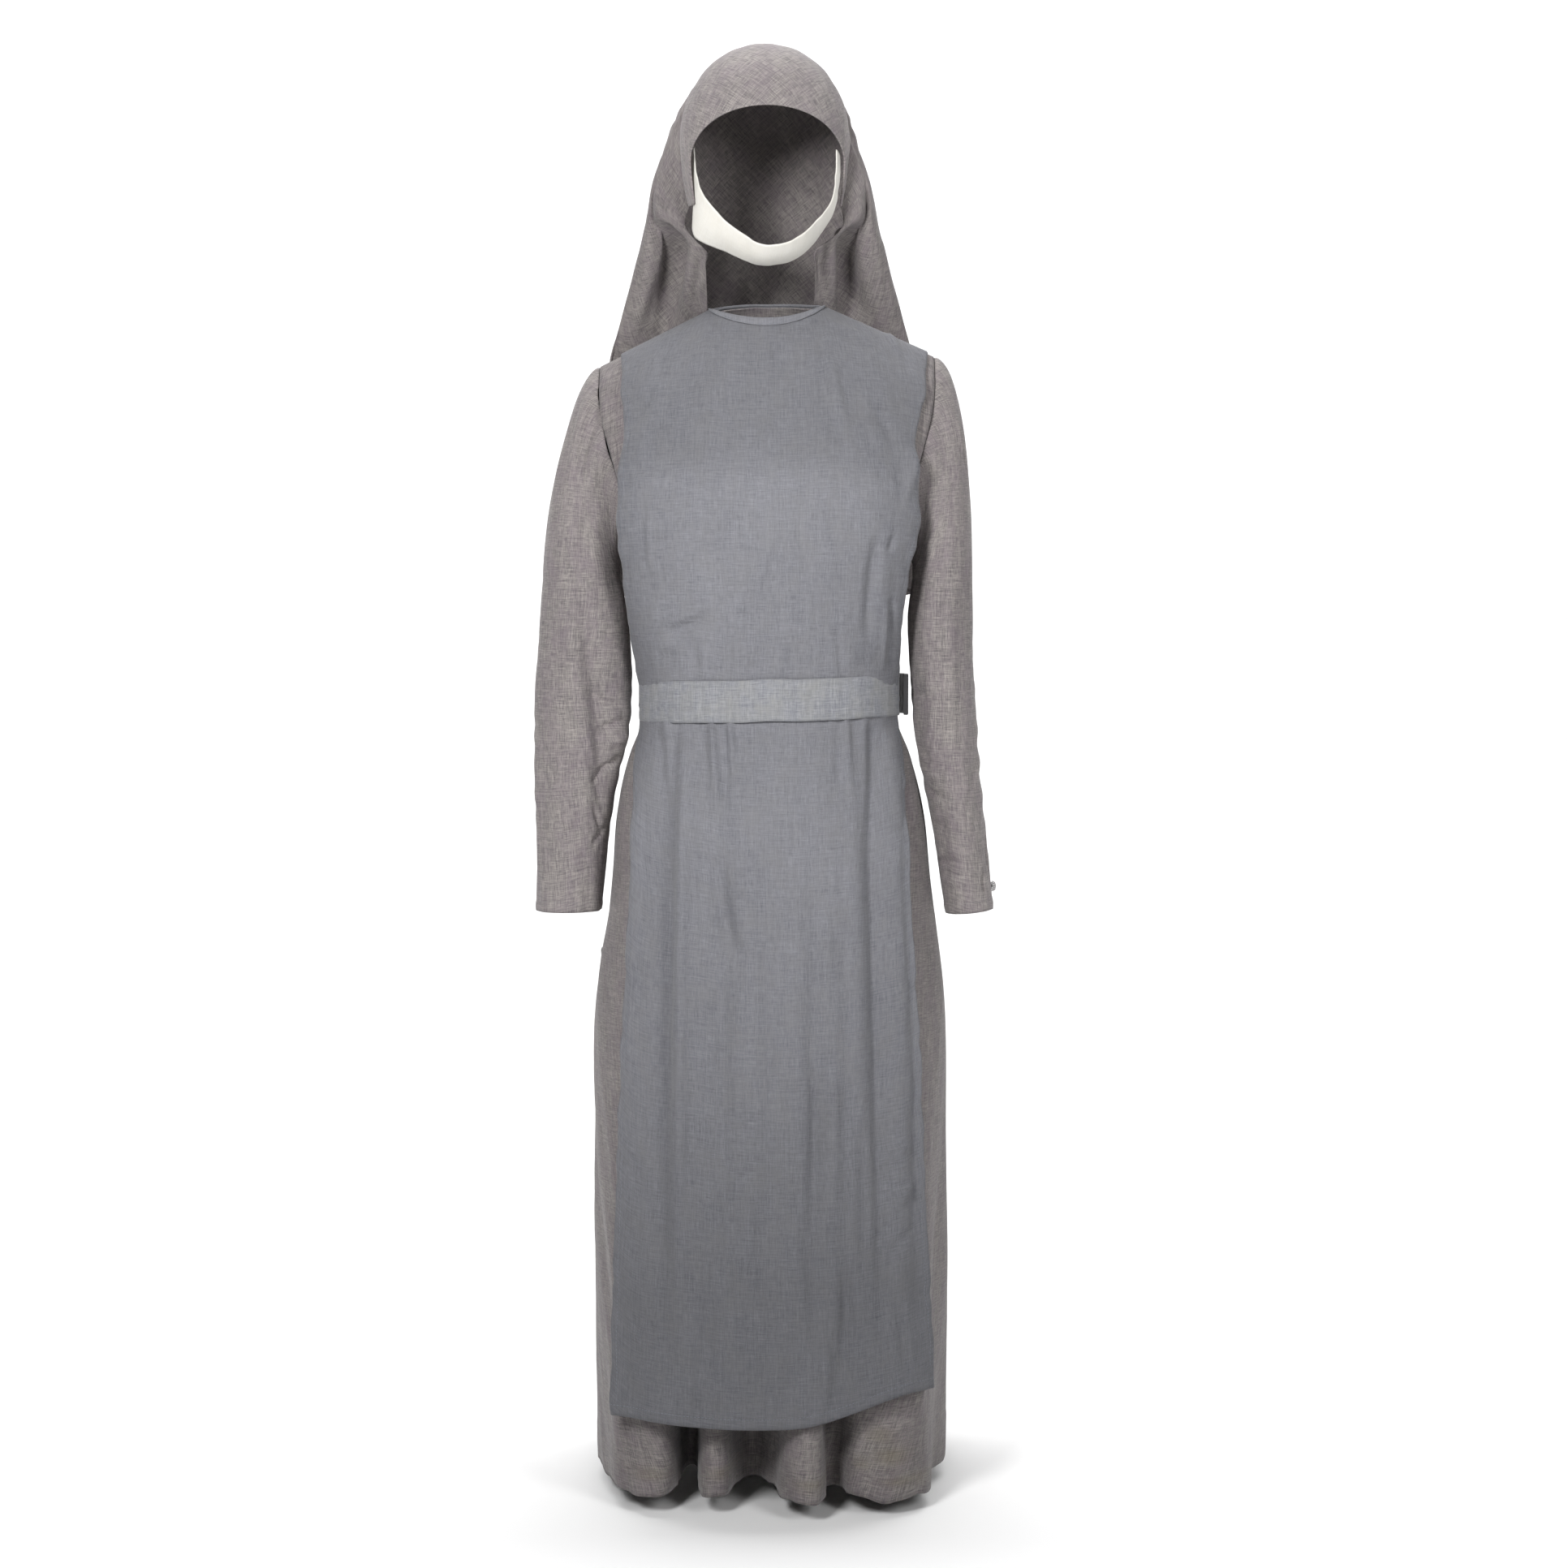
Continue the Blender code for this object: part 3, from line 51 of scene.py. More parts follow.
# Walls and seams
TUNIC_WALL = 0.0015
SCAPULAR_WALL = 0.0012
VEIL_WALL = 0.0013
CAP_WALL = 0.0020
CHIN_WALL = 0.0012
BELT_WALL = 0.0025
SEAM = 0.0004
LAID_ON = 0.0008  # the least gap between a layer and the one it lies on
HANGING_EASE = 0.0016  # how much more the scapular stands off where it hangs free

NECK_SHARE = 0.36  # the share of a panel's columns that end at the neckline

# The tunic's outer form. Above the armpit the half width is that of the form before the armholes
# are cut away.
BodySection = namedtuple("BodySection", "z centre_x half_width front back square")
BODY = (
    BodySection(0.040, 0.000, 0.240, 0.122, 0.106, 2.0),
    BodySection(-0.100, 0.000, 0.222, 0.122, 0.108, 2.0),
    BodySection(-0.160, 0.000, 0.205, 0.124, 0.110, 2.0),
    BodySection(-0.220, 0.000, 0.178, 0.125, 0.110, 2.0),
    BodySection(-0.275, 0.000, 0.162, 0.125, 0.108, 2.0),
    BodySection(-0.350, 0.001, 0.157, 0.118, 0.102, 2.0),
    BodySection(-0.405, 0.002, 0.1505, 0.110, 0.099, 2.0),
    BodySection(-0.4435, 0.003, 0.1475, 0.106, 0.098, 2.0),
    BodySection(-0.472, 0.003, 0.1490, 0.108, 0.101, 2.0),
    BodySection(-0.505, 0.003, 0.1620, 0.121, 0.118, 2.0),
    BodySection(-0.585, 0.004, 0.181, 0.141, 0.141, 2.1),
    BodySection(-0.640, 0.005, 0.186, 0.149, 0.151, 2.15),
    BodySection(-0.690, 0.005, 0.191, 0.156, 0.159, 2.2),
    BodySection(-0.780, 0.004, 0.203, 0.166, 0.170, 2.35),
    BodySection(-0.970, 0.004, 0.207, 0.180, 0.182, 2.5),
    BodySection(-1.160, 0.005, 0.208, 0.190, 0.190, 2.7),
    BodySection(-1.330, 0.005, 0.206, 0.198, 0.196, 2.8),
)

# The turns of the hem's folds, seen from above, from the right side seam to the left. The angle
# is where the fold starts at the waist, heading is the way the hem runs through the turn, and
# reach is how broad the turn is.
Turn = namedtuple("Turn", "angle x y heading reach steps")
FRONT_TURNS = (
    Turn(-70.0, -0.183, -0.098, -74.0, 0.080, 2),
    Turn(-55.0, -0.161, -0.158, -35.0, 0.060, 2),
    Turn(-40.0, -0.122, -0.184, 2.0, 0.085, 3),
    Turn(-27.0, -0.0885, -0.064, 0.0, 0.056, 5),
    Turn(-18.0, -0.0600, -0.190, 0.0, 0.090, 5),
    Turn(-4.5, -0.0180, -0.097, 0.0, 0.072, 4),
    Turn(11.0, 0.0470, -0.217, 5.0, 0.105, 4),
    Turn(21.0, 0.0740, -0.140, 0.0, 0.060, 4),
    Turn(35.0, 0.1180, -0.189, 0.0, 0.110, 4),
    Turn(52.0, 0.1770, -0.166, 50.0, 0.050, 3),
    Turn(69.0, 0.1880, -0.090, 84.0, 0.080, 2),
)
BACK_TURNS = (
    Turn(-70.0, -0.192, 0.085, 76.0, 0.080, 2),
    Turn(-54.0, -0.158, 0.178, 0.0, 0.070, 3),
    Turn(-42.0, -0.122, 0.110, 0.0, 0.060, 4),
    Turn(-26.0, -0.076, 0.196, 0.0, 0.080, 4),
    Turn(-11.0, -0.030, 0.128, 0.0, 0.060, 4),
    Turn(4.0, 0.018, 0.202, 0.0, 0.085, 4),
    Turn(18.0, 0.066, 0.116, 0.0, 0.060, 4),
    Turn(34.0, 0.114, 0.194, 0.0, 0.080, 4),
    Turn(48.0, 0.154, 0.132, 0.0, 0.046, 3),
    Turn(62.0, 0.194, 0.140, -45.0, 0.070, 3),
    Turn(78.0, 0.2115, 0.060, -88.0, 0.070, 2),
)
FOLD_TOP_Z = -0.540
FOLD_GROWTH = 1.25

# The scapular: where its two edges are, the half width and squareness of the curve it hangs on,
# and how far its outer face stands off the tunic's.
ScapularSection = namedtuple("ScapularSection", "z right_edge left_edge reach square ease")
SCAPULAR_FRONT = (
    ScapularSection(0.040, -0.170, 0.187, 0.246, 2.0, 0.0030),
    ScapularSection(-0.042, -0.168, 0.185, 0.236, 2.0, 0.0030),
    ScapularSection(-0.100, -0.165, 0.180, 0.230, 2.1, 0.0034),
    ScapularSection(-0.160, -0.163, 0.169, 0.216, 2.2, 0.0045),
    ScapularSection(-0.200, -0.170, 0.174, 0.210, 2.3, 0.0060),
    ScapularSection(-0.235, -0.171, 0.176, 0.206, 2.3, 0.0065),
    ScapularSection(-0.290, -0.166, 0.165, 0.192, 2.2, 0.0060),
    ScapularSection(-0.370, -0.158, 0.155, 0.170, 2.1, 0.0045),
    ScapularSection(-0.415, -0.151, 0.153, 0.156, 2.0, 0.0023),
    ScapularSection(-0.4435, -0.1480, 0.151, 0.1505, 2.0, 0.0020),
    ScapularSection(-0.472, -0.1485, 0.152, 0.1520, 2.0, 0.0022),
    ScapularSection(-0.585, -0.154, 0.161, 0.184, 2.2, 0.0120),
    ScapularSection(-0.700, -0.158, 0.166, 0.203, 2.3, 0.0140),
    ScapularSection(-0.830, -0.165, 0.174, 0.214, 2.5, 0.0140),
    ScapularSection(-1.000, -0.171, 0.180, 0.222, 2.7, 0.0170),
    ScapularSection(-1.150, -0.175, 0.188, 0.226, 3.0, 0.0240),
    ScapularSection(-1.260, -0.176, 0.193, 0.228, 3.1, 0.0300),
)
SCAPULAR_BACK = (
    ScapularSection(0.040, -0.170, 0.187, 0.246, 2.0, 0.0030),
    ScapularSection(-0.042, -0.168, 0.185, 0.236, 2.0, 0.0030),
    ScapularSection(-0.100, -0.166, 0.178, 0.230, 2.1, 0.0032),
    ScapularSection(-0.200, -0.164, 0.170, 0.208, 2.2, 0.0036),
    ScapularSection(-0.300, -0.160, 0.164, 0.186, 2.1, 0.0036),
    ScapularSection(-0.4435, -0.144, 0.148, 0.1505, 2.0, 0.0020),
    ScapularSection(-0.472, -0.145, 0.149, 0.1520, 2.0, 0.0022),
    ScapularSection(-0.600, -0.154, 0.160, 0.190, 2.2, 0.0110),
    ScapularSection(-0.830, -0.164, 0.170, 0.214, 2.5, 0.0130),
    ScapularSection(-1.260, -0.174, 0.184, 0.222, 2.9, 0.0160),
)
EDGE_CROWDING = math.radians(72.0)  # how much closer its columns lie towards the edges
ScapularHem = namedtuple("ScapularHem", "right centre left")
FRONT_HEM = ScapularHem(-1.240, -1.246, -1.211)
BACK_HEM = ScapularHem(-1.244, -1.250, -1.240)

# Soft troughs that run down the scapular; the place is a share of the half width.
Trough = namedtuple("Trough", "place depth half_share top_z bottom_z")
FRONT_TROUGHS = (
    Trough(-0.78, 0.0085, 0.16, -0.50, -1.30),
    Trough(-0.30, 0.0040, 0.12, -0.47, -1.05),
    Trough(0.40, 0.0055, 0.14, -0.62, -1.30),
    Trough(0.83, 0.0080, 0.13, -0.49, -1.20),
)
BACK_TROUGHS = (
    Trough(-0.70, 0.0075, 0.16, -0.50, -1.30),
    Trough(-0.05, 0.0060, 0.16, -0.55, -1.30),
    Trough(0.62, 0.0075, 0.15, -0.50, -1.30),
)

# Sleeves, as ellipses on level cuts. Each hangs as the photo shows it.
SleeveSection = namedtuple("SleeveSection", "z centre_x centre_y across along")
RIGHT_SLEEVE = (
    SleeveSection(-0.305, -0.2170, 0.006, 0.0455, 0.0600),
    SleeveSection(-0.345, -0.2145, 0.006, 0.0520, 0.0580),
    SleeveSection(-0.390, -0.2138, 0.005, 0.0550, 0.0560),
    SleeveSection(-0.440, -0.2150, 0.002, 0.0565, 0.0530),
    SleeveSection(-0.490, -0.2165, -0.003, 0.0550, 0.0500),
    SleeveSection(-0.540, -0.2228, -0.009, 0.0480, 0.0470),
    SleeveSection(-0.590, -0.2258, -0.016, 0.0425, 0.0440),
    SleeveSection(-0.640, -0.2280, -0.022, 0.0398, 0.0420),
    SleeveSection(-0.690, -0.2305, -0.027, 0.0380, 0.0400),
)
LEFT_SLEEVE = (
    SleeveSection(-0.305, 0.2045, 0.006, 0.0350, 0.0640),
    SleeveSection(-0.345, 0.2025, 0.006, 0.0378, 0.0640),
    SleeveSection(-0.390, 0.2035, 0.005, 0.0374, 0.0620),
    SleeveSection(-0.440, 0.2060, 0.002, 0.0368, 0.0600),
    SleeveSection(-0.490, 0.2095, -0.003, 0.0360, 0.0570),
    SleeveSection(-0.540, 0.2160, -0.009, 0.0330, 0.0540),
    SleeveSection(-0.590, 0.2232, -0.014, 0.0304, 0.0510),
    SleeveSection(-0.640, 0.2295, -0.019, 0.0296, 0.0490),
    SleeveSection(-0.690, 0.2360, -0.023, 0.0285, 0.0470),
)
SleeveCap = namedtuple("SleeveCap", "outward downward cuff_slant")
RIGHT_CAP = SleeveCap(0.075, 0.130, 0.010)
LEFT_CAP = SleeveCap(0.090, 0.110, -0.100)

# The head form that the cap band is sewn to fit, cloth included
HEAD_CENTRE = np.array((-0.0025, 0.015, 0.200))
HEAD_ACROSS = 0.0985
HEAD_ALONG = 0.115
HEAD_ABOVE = 0.111
HEAD_BELOW = 0.190
HEAD_SQUARE = 2.4
CAP_TIP_Z = 0.122
FACE_TOP_Z = 0.2260
FACE_WIDEST_Z = 0.170
FACE_CENTRE_X = 0.001
FACE_HALF_WIDTH = 0.0885
FACE_TIP_HALF_WIDTH = 0.0840
CAP_SEAM_TOP_Y = 0.036
CAP_SEAM_SIDE_Y = 0.006
CAP_SEAM_TIP_Y = -0.008

# The veil's level cuts. The edge angle is where the free front edges are, from straight ahead.
VeilSection = namedtuple("VeilSection", "z half_width centre_y front back edge_angle")
VEIL = (
    VeilSection(0.311, 0.0980, 0.015, 0.060, 0.115, 46.0),
    VeilSection(0.200, 0.1110, 0.015, 0.056, 0.122, 46.0),
    VeilSection(0.150, 0.1270, 0.016, 0.054, 0.128, 40.0),
    VeilSection(0.105, 0.1360, 0.020, 0.054, 0.126, 30.0),
    VeilSection(0.050, 0.1510, 0.042, 0.052, 0.106, 25.0),
    VeilSection(0.000, 0.1660, 0.068, 0.040, 0.084, 22.0),
    VeilSection(-0.055, 0.1810, 0.098, 0.020, 0.058, 21.0),
    VeilSection(-0.110, 0.1830, 0.124, 0.010, 0.040, 24.0),
    VeilSection(-0.200, 0.1840, 0.136, 0.010, 0.036, 28.0),
    VeilSection(-0.330, 0.1850, 0.140, 0.012, 0.038, 32.0),
)
# Folds of the veil. The place is a share from the back centre to the right edge, -1, or the
# left edge, 1; low_share is what is left of the depth at the shoulders.
VeilFold = namedtuple("VeilFold", "place depth half_share top_z full_z low_share")
VEIL_FOLDS = (
    VeilFold(-0.73, 0.036, 0.085, 0.170, 0.060, 0.20),
    VeilFold(-0.34, 0.012, 0.110, 0.120, -0.050, 1.0),
    VeilFold(-0.13, 0.011, 0.090, 0.020, -0.150, 1.0),
    VeilFold(0.09, 0.013, 0.100, 0.040, -0.120, 1.0),
    VeilFold(0.31, 0.011, 0.100, 0.100, -0.060, 1.0),
    VeilFold(0.76, 0.038, 0.080, 0.180, 0.060, 0.20),
)
VEIL_CENTRE_X = -0.007
HEAD_ARC_RADIUS = 0.112

# The chin band, from the wearer's right temple under the chin to the left temple: the edge
# next to the face and the edge behind it.
ChinSection = namedtuple("ChinSection", "face_x face_y face_z back_x back_y back_z")
CHIN_BAND = (
    ChinSection(-0.0835, -0.0400, 0.186, -0.0870, -0.0160, 0.172),
    ChinSection(-0.0810, -0.0460, 0.158, -0.0850, -0.0180, 0.134),
    ChinSection(-0.0740, -0.0590, 0.134, -0.0805, -0.0240, 0.104),
    ChinSection(-0.0560, -0.0720, 0.109, -0.0690, -0.0340, 0.085),
    ChinSection(-0.0320, -0.0820, 0.087, -0.0440, -0.0460, 0.066),
    ChinSection(0.0000, -0.0890, 0.0705, -0.0020, -0.0540, 0.051),
    ChinSection(0.0240, -0.0850, 0.0740, 0.0250, -0.0500, 0.055),
    ChinSection(0.0440, -0.0770, 0.087, 0.0470, -0.0420, 0.070),
    ChinSection(0.0600, -0.0680, 0.103, 0.0630, -0.0320, 0.090),
    ChinSection(0.0730, -0.0560, 0.122, 0.0750, -0.0250, 0.112),
    ChinSection(0.0790, -0.0460, 0.150, 0.0815, -0.0190, 0.142),
    ChinSection(0.0800, -0.0400, 0.184, 0.0830, -0.0160, 0.174),
)

# The belt's two ends meet under the clasp at this angle from the front
BELT_END_ANGLE = 94.0
BELT_END_GAP = 6.0

# How finely the cloth is drawn
FINE = 5  # columns for each step of a hem turn
YOKE_ROWS = 56
SKIRT_ROWS = 150
SCAPULAR_COLUMNS = 140
SCAPULAR_ROWS = 170
SLEEVE_CAP_ROWS = 40
SLEEVE_ROWS = 100
CAP_GRID = (220, 56)
VEIL_GRID = (190, 170)
CHIN_GRID = (190, 22)
BELT_GRID = (280, 20)
BINDING_WIDTH = 0.0105
TUNIC_HEM = 0.040  # the widths of the turned hems
CUFF_HEM = 0.014
SCAPULAR_SIDE_HEM = 0.009
SCAPULAR_HEM = 0.012
CAP_HEM = 0.009
VEIL_SIDE_HEM = 0.008
VEIL_HEM = 0.012
CHIN_HEM = 0.005
BELT_FOLD = 0.030  # how far below the belt's top edge its fold and the stitches under it run
BELT_STITCHING = 0.034
VALLEY_GAIN = 1.2  # how much deeper the creases are than their tables say
TUNIC_VALLEY_GAIN = 1.3
CREASE_GAIN = 2.5
SLEEVE_CREASE_GAIN = 1.8
VEIL_CREASE_GAIN = 1.4
SLEEVE_DEGREE = 0.00092  # metres round the sleeve for each degree
HEM_DROOP = 0.009  # how far the front hangs below its cut line, from the cloth's weight
JAW_PLACE = 0.25  # the share along the chin band where it turns at the right jaw
JAW_SHIFT = (-0.010, 0.0, -0.004)

# Creases, each a curve through three points. On the panels the points are x and z; on the
# sleeves they are degrees round from the outer side through the front, and z. A positive depth
# is a ridge. Root is 1 for a crease that is strongest at its first point and 0 for one that
# fades at both ends.
Crease = namedtuple("Crease", "a0 z0 a1 z1 a2 z2 depth half_width root")
FRONT_VALLEYS = (
    Crease(-0.112, -0.490, -0.119, -0.840, -0.121, -1.200, -0.0130, 0.0150, 0.4),
    Crease(-0.094, -0.500, -0.097, -0.840, -0.097, -1.225, 0.0055, 0.0090, 0.4),
    Crease(-0.145, -0.520, -0.152, -0.840, -0.154, -1.215, 0.0030, 0.0100, 0.3),
    Crease(0.118, -0.480, 0.127, -0.840, 0.130, -1.180, -0.0120, 0.0145, 0.4),
    Crease(0.142, -0.490, 0.152, -0.840, 0.156, -1.190, 0.0055, 0.0100, 0.4),
    Crease(0.094, -0.500, 0.100, -0.840, 0.102, -1.200, 0.0030, 0.0120, 0.3),
    Crease(-0.050, -0.560, -0.048, -0.860, -0.040, -1.180, -0.0036, 0.0150, 0.0),
    Crease(-0.018, -0.560, -0.014, -0.860, -0.010, -1.200, 0.0026, 0.0140, 0.0),
    Crease(0.052, -0.590, 0.054, -0.860, 0.050, -1.200, -0.0040, 0.0140, 0.0),
    Crease(0.075, -0.600, 0.078, -0.860, 0.074, -1.200, 0.0026, 0.0120, 0.0),
)
FRONT_CREASES = (
    Crease(0.007, -0.123, -0.002, -0.143, -0.014, -0.163, 0.0022, 0.0030, 0.0),
    Crease(0.073, -0.052, 0.076, -0.091, 0.095, -0.139, 0.0030, 0.0090, 0.0),
    Crease(0.152, -0.163, 0.165, -0.174, 0.161, -0.215, 0.0040, 0.0070, 0.2),
    Crease(-0.133, -0.213, -0.133, -0.258, -0.131, -0.302, 0.0012, 0.0035, 0.0),
    Crease(-0.114, -0.368, -0.091, -0.359, -0.064, -0.346, -0.0035, 0.0060, 0.0),
    Crease(-0.117, -0.357, -0.091, -0.347, -0.060, -0.337, 0.0020, 0.0060, 0.0),
    Crease(-0.128, -0.396, -0.116, -0.393, -0.101, -0.392, -0.0020, 0.0050, 0.0),
    Crease(-0.042, -0.420, -0.043, -0.401, -0.039, -0.369, -0.0022, 0.0050, 0.8),
    Crease(-0.020, -0.378, -0.021, -0.341, -0.018, -0.309, -0.0012, 0.0060, 0.0),
    Crease(0.006, -0.261, -0.006, -0.300, -0.014, -0.333, 0.0014, 0.0060, 0.0),
    Crease(0.126, -0.261, 0.119, -0.313, 0.116, -0.387, -0.0030, 0.0090, 0.3),
    Crease(0.147, -0.253, 0.142, -0.265, 0.138, -0.280, -0.0018, 0.0050, 0.0),
    Crease(0.144, -0.332, 0.143, -0.369, 0.144, -0.415, -0.0022, 0.0050, 0.6),
    Crease(0.137, -0.336, 0.134, -0.373, 0.132, -0.417, 0.0016, 0.0045, 0.4),
    Crease(0.088, -0.420, 0.084, -0.396, 0.079, -0.350, -0.0018, 0.0050, 0.8),
    Crease(-0.079, -0.419, -0.080, -0.398, -0.088, -0.369, -0.0014, 0.0050, 0.8),
    Crease(0.028, -0.420, 0.029, -0.401, 0.025, -0.378, -0.0010, 0.0040, 0.8),
    Crease(0.042, -0.017, 0.073, -0.021, 0.097, -0.036, -0.0016, 0.0040, 0.5),
    Crease(0.071, -0.014, 0.097, -0.025, 0.128, -0.040, 0.0020, 0.0045, 0.0),
    Crease(0.106, -0.019, 0.123, -0.032, 0.140, -0.054, -0.0022, 0.0045, 0.5),
    Crease(0.141, -0.025, 0.149, -0.041, 0.154, -0.065, 0.0018, 0.0045, 0.5),
    Crease(-0.151, -0.047, -0.127, -0.045, -0.099, -0.036, -0.0016, 0.0050, 0.0),
    Crease(-0.156, -0.128, -0.143, -0.117, -0.128, -0.097, -0.0014, 0.0060, 0.0),
    Crease(-0.154, -0.198, -0.134, -0.193, -0.106, -0.191, 0.0016, 0.0070, 0.0),
    Crease(0.121, -0.110, 0.136, -0.136, 0.147, -0.162, -0.0018, 0.0080, 0.0),
    Crease(-0.054, -0.468, -0.049, -0.504, -0.045, -0.578, -0.0055, 0.0060, 1.0),
    Crease(-0.061, -0.469, -0.058, -0.523, -0.056, -0.578, 0.0030, 0.0070, 0.9),
    Crease(-0.041, -0.469, -0.039, -0.495, -0.037, -0.532, 0.0024, 0.0050, 0.9),
    Crease(0.082, -0.467, 0.082, -0.504, 0.083, -0.546, -0.0042, 0.0055, 1.0),
    Crease(0.090, -0.468, 0.091, -0.504, 0.093, -0.550, 0.0022, 0.0055, 0.9),
    Crease(-0.101, -0.468, -0.101, -0.491, -0.101, -0.518, -0.0030, 0.0050, 1.0),
    Crease(-0.115, -0.468, -0.113, -0.513, -0.113, -0.578, 0.0030, 0.0070, 0.8),
    Crease(0.111, -0.467, 0.113, -0.523, 0.113, -0.605, 0.0028, 0.0080, 0.8),
    Crease(-0.056, -0.616, -0.048, -0.683, -0.022, -0.746, -0.0032, 0.0130, 0.0),
    Crease(-0.037, -0.655, -0.026, -0.653, -0.013, -0.651, 0.0012, 0.0030, 0.0),
    Crease(-0.076, -0.789, -0.066, -0.786, -0.054, -0.784, 0.0010, 0.0030, 0.0),
    Crease(0.019, -0.678, 0.022, -0.683, 0.025, -0.688, -0.0012, 0.0030, 0.0),
    Crease(0.000, -0.469, 0.001, -0.491, 0.003, -0.513, -0.0016, 0.0040, 1.0),
    Crease(0.037, -0.468, 0.038, -0.495, 0.036, -0.532, -0.0014, 0.0050, 1.0),
    Crease(0.142, -0.467, 0.144, -0.504, 0.146, -0.550, -0.0024, 0.0050, 1.0),
    Crease(0.068, -0.678, 0.066, -0.733, 0.064, -0.807, 0.0016, 0.0070, 0.0),
    Crease(-0.087, -0.568, -0.082, -0.642, -0.085, -0.715, -0.0014, 0.0080, 0.0),
    Crease(0.057, -0.840, 0.055, -0.935, 0.051, -1.040, -0.0020, 0.0085, 0.0),
    Crease(0.072, -0.850, 0.075, -0.926, 0.072, -1.020, 0.0014, 0.0090, 0.0),
    Crease(0.104, -0.908, 0.108, -0.999, 0.106, -1.107, -0.0020, 0.0080, 0.0),
    Crease(0.131, -0.962, 0.142, -0.949, 0.166, -0.940, 0.0020, 0.0040, 0.0),
    Crease(0.148, -1.004, 0.158, -0.991, 0.172, -0.980, 0.0020, 0.0040, 0.3),
    Crease(0.129, -0.897, 0.133, -0.903, 0.135, -0.892, 0.0014, 0.0030, 0.0),
    Crease(0.139, -1.080, 0.148, -1.053, 0.166, -1.035, -0.0018, 0.0060, 0.0),
    Crease(-0.135, -1.116, -0.126, -1.134, -0.122, -1.162, 0.0014, 0.0030, 0.0),
    Crease(-0.153, -1.158, -0.142, -1.151, -0.135, -1.140, 0.0012, 0.0030, 0.0),
    Crease(-0.014, -0.962, -0.006, -1.035, -0.012, -1.107, -0.0018, 0.0120, 0.0),
    Crease(0.027, -1.017, 0.035, -1.089, 0.041, -1.152, 0.0020, 0.0110, 0.0),
    Crease(-0.059, -1.062, -0.066, -1.143, -0.062, -1.216, -0.0020, 0.0120, 0.0),
    Crease(0.086, -1.071, 0.090, -1.125, 0.082, -1.189, -0.0028, 0.0080, 0.0),
    Crease(0.061, -1.143, 0.066, -1.189, 0.059, -1.234, 0.0022, 0.0080, 0.0),
    Crease(-0.092, -1.143, -0.086, -1.189, -0.084, -1.234, 0.0016, 0.0080, 0.2),
    Crease(0.149, -1.107, 0.153, -1.152, 0.158, -1.198, -0.0020, 0.0070, 0.2),
    Crease(-0.077, -1.057, -0.050, -1.061, -0.018, -1.058, 0.0010, 0.0040, 0.0),
)
BACK_VALLEYS = (
    Crease(-0.100, -0.490, -0.108, -0.840, -0.112, -1.200, -0.0085, 0.0150, 0.3),
    Crease(-0.080, -0.500, -0.084, -0.840, -0.086, -1.210, 0.0038, 0.0120, 0.3),
    Crease(-0.012, -0.500, -0.008, -0.840, -0.004, -1.200, -0.0070, 0.0150, 0.2),
    Crease(0.016, -0.500, 0.018, -0.840, 0.022, -1.200, 0.0036, 0.0120, 0.2),
    Crease(0.098, -0.490, 0.106, -0.840, 0.112, -1.200, -0.0085, 0.0150, 0.3),
    Crease(0.126, -0.500, 0.136, -0.840, 0.142, -1.200, 0.0040, 0.0110, 0.3),
)
BACK_CREASES = (
    Crease(-0.060, -0.470, -0.056, -0.520, -0.060, -0.590, -0.0045, 0.0060, 1.0),
    Crease(-0.070, -0.470, -0.068, -0.520, -0.070, -0.580, 0.0026, 0.0060, 0.9),
    Crease(0.035, -0.470, 0.038, -0.510, 0.034, -0.560, -0.0035, 0.0055, 1.0),
    Crease(0.098, -0.470, 0.096, -0.530, 0.100, -0.600, -0.0030, 0.0060, 1.0),
    Crease(0.010, -0.418, 0.012, -0.390, 0.006, -0.350, -0.0024, 0.0055, 0.9),
    Crease(-0.082, -0.418, -0.078, -0.380, -0.086, -0.335, -0.0022, 0.0060, 0.9),
    Crease(0.092, -0.418, 0.088, -0.385, 0.094, -0.345, -0.0020, 0.0055, 0.9),
    Crease(-0.110, -0.370, -0.070, -0.355, -0.020, -0.362, 0.0020, 0.0080, 0.0),
    Crease(0.115, -0.362, 0.080, -0.348, 0.040, -0.352, 0.0018, 0.0070, 0.0),
    Crease(-0.030, -0.700, -0.024, -0.800, -0.030, -0.920, -0.0024, 0.0110, 0.0),
    Crease(0.080, -0.720, 0.086, -0.840, 0.078, -0.960, 0.0022, 0.0110, 0.0),
    Crease(-0.100, -0.900, -0.094, -1.000, -0.102, -1.100, -0.0026, 0.0100, 0.0),
    Crease(0.030, -1.000, 0.036, -1.090, 0.028, -1.180, -0.0026, 0.0100, 0.0),
    Crease(0.110, -1.080, 0.116, -1.140, 0.112, -1.210, 0.0020, 0.0080, 0.2),
)
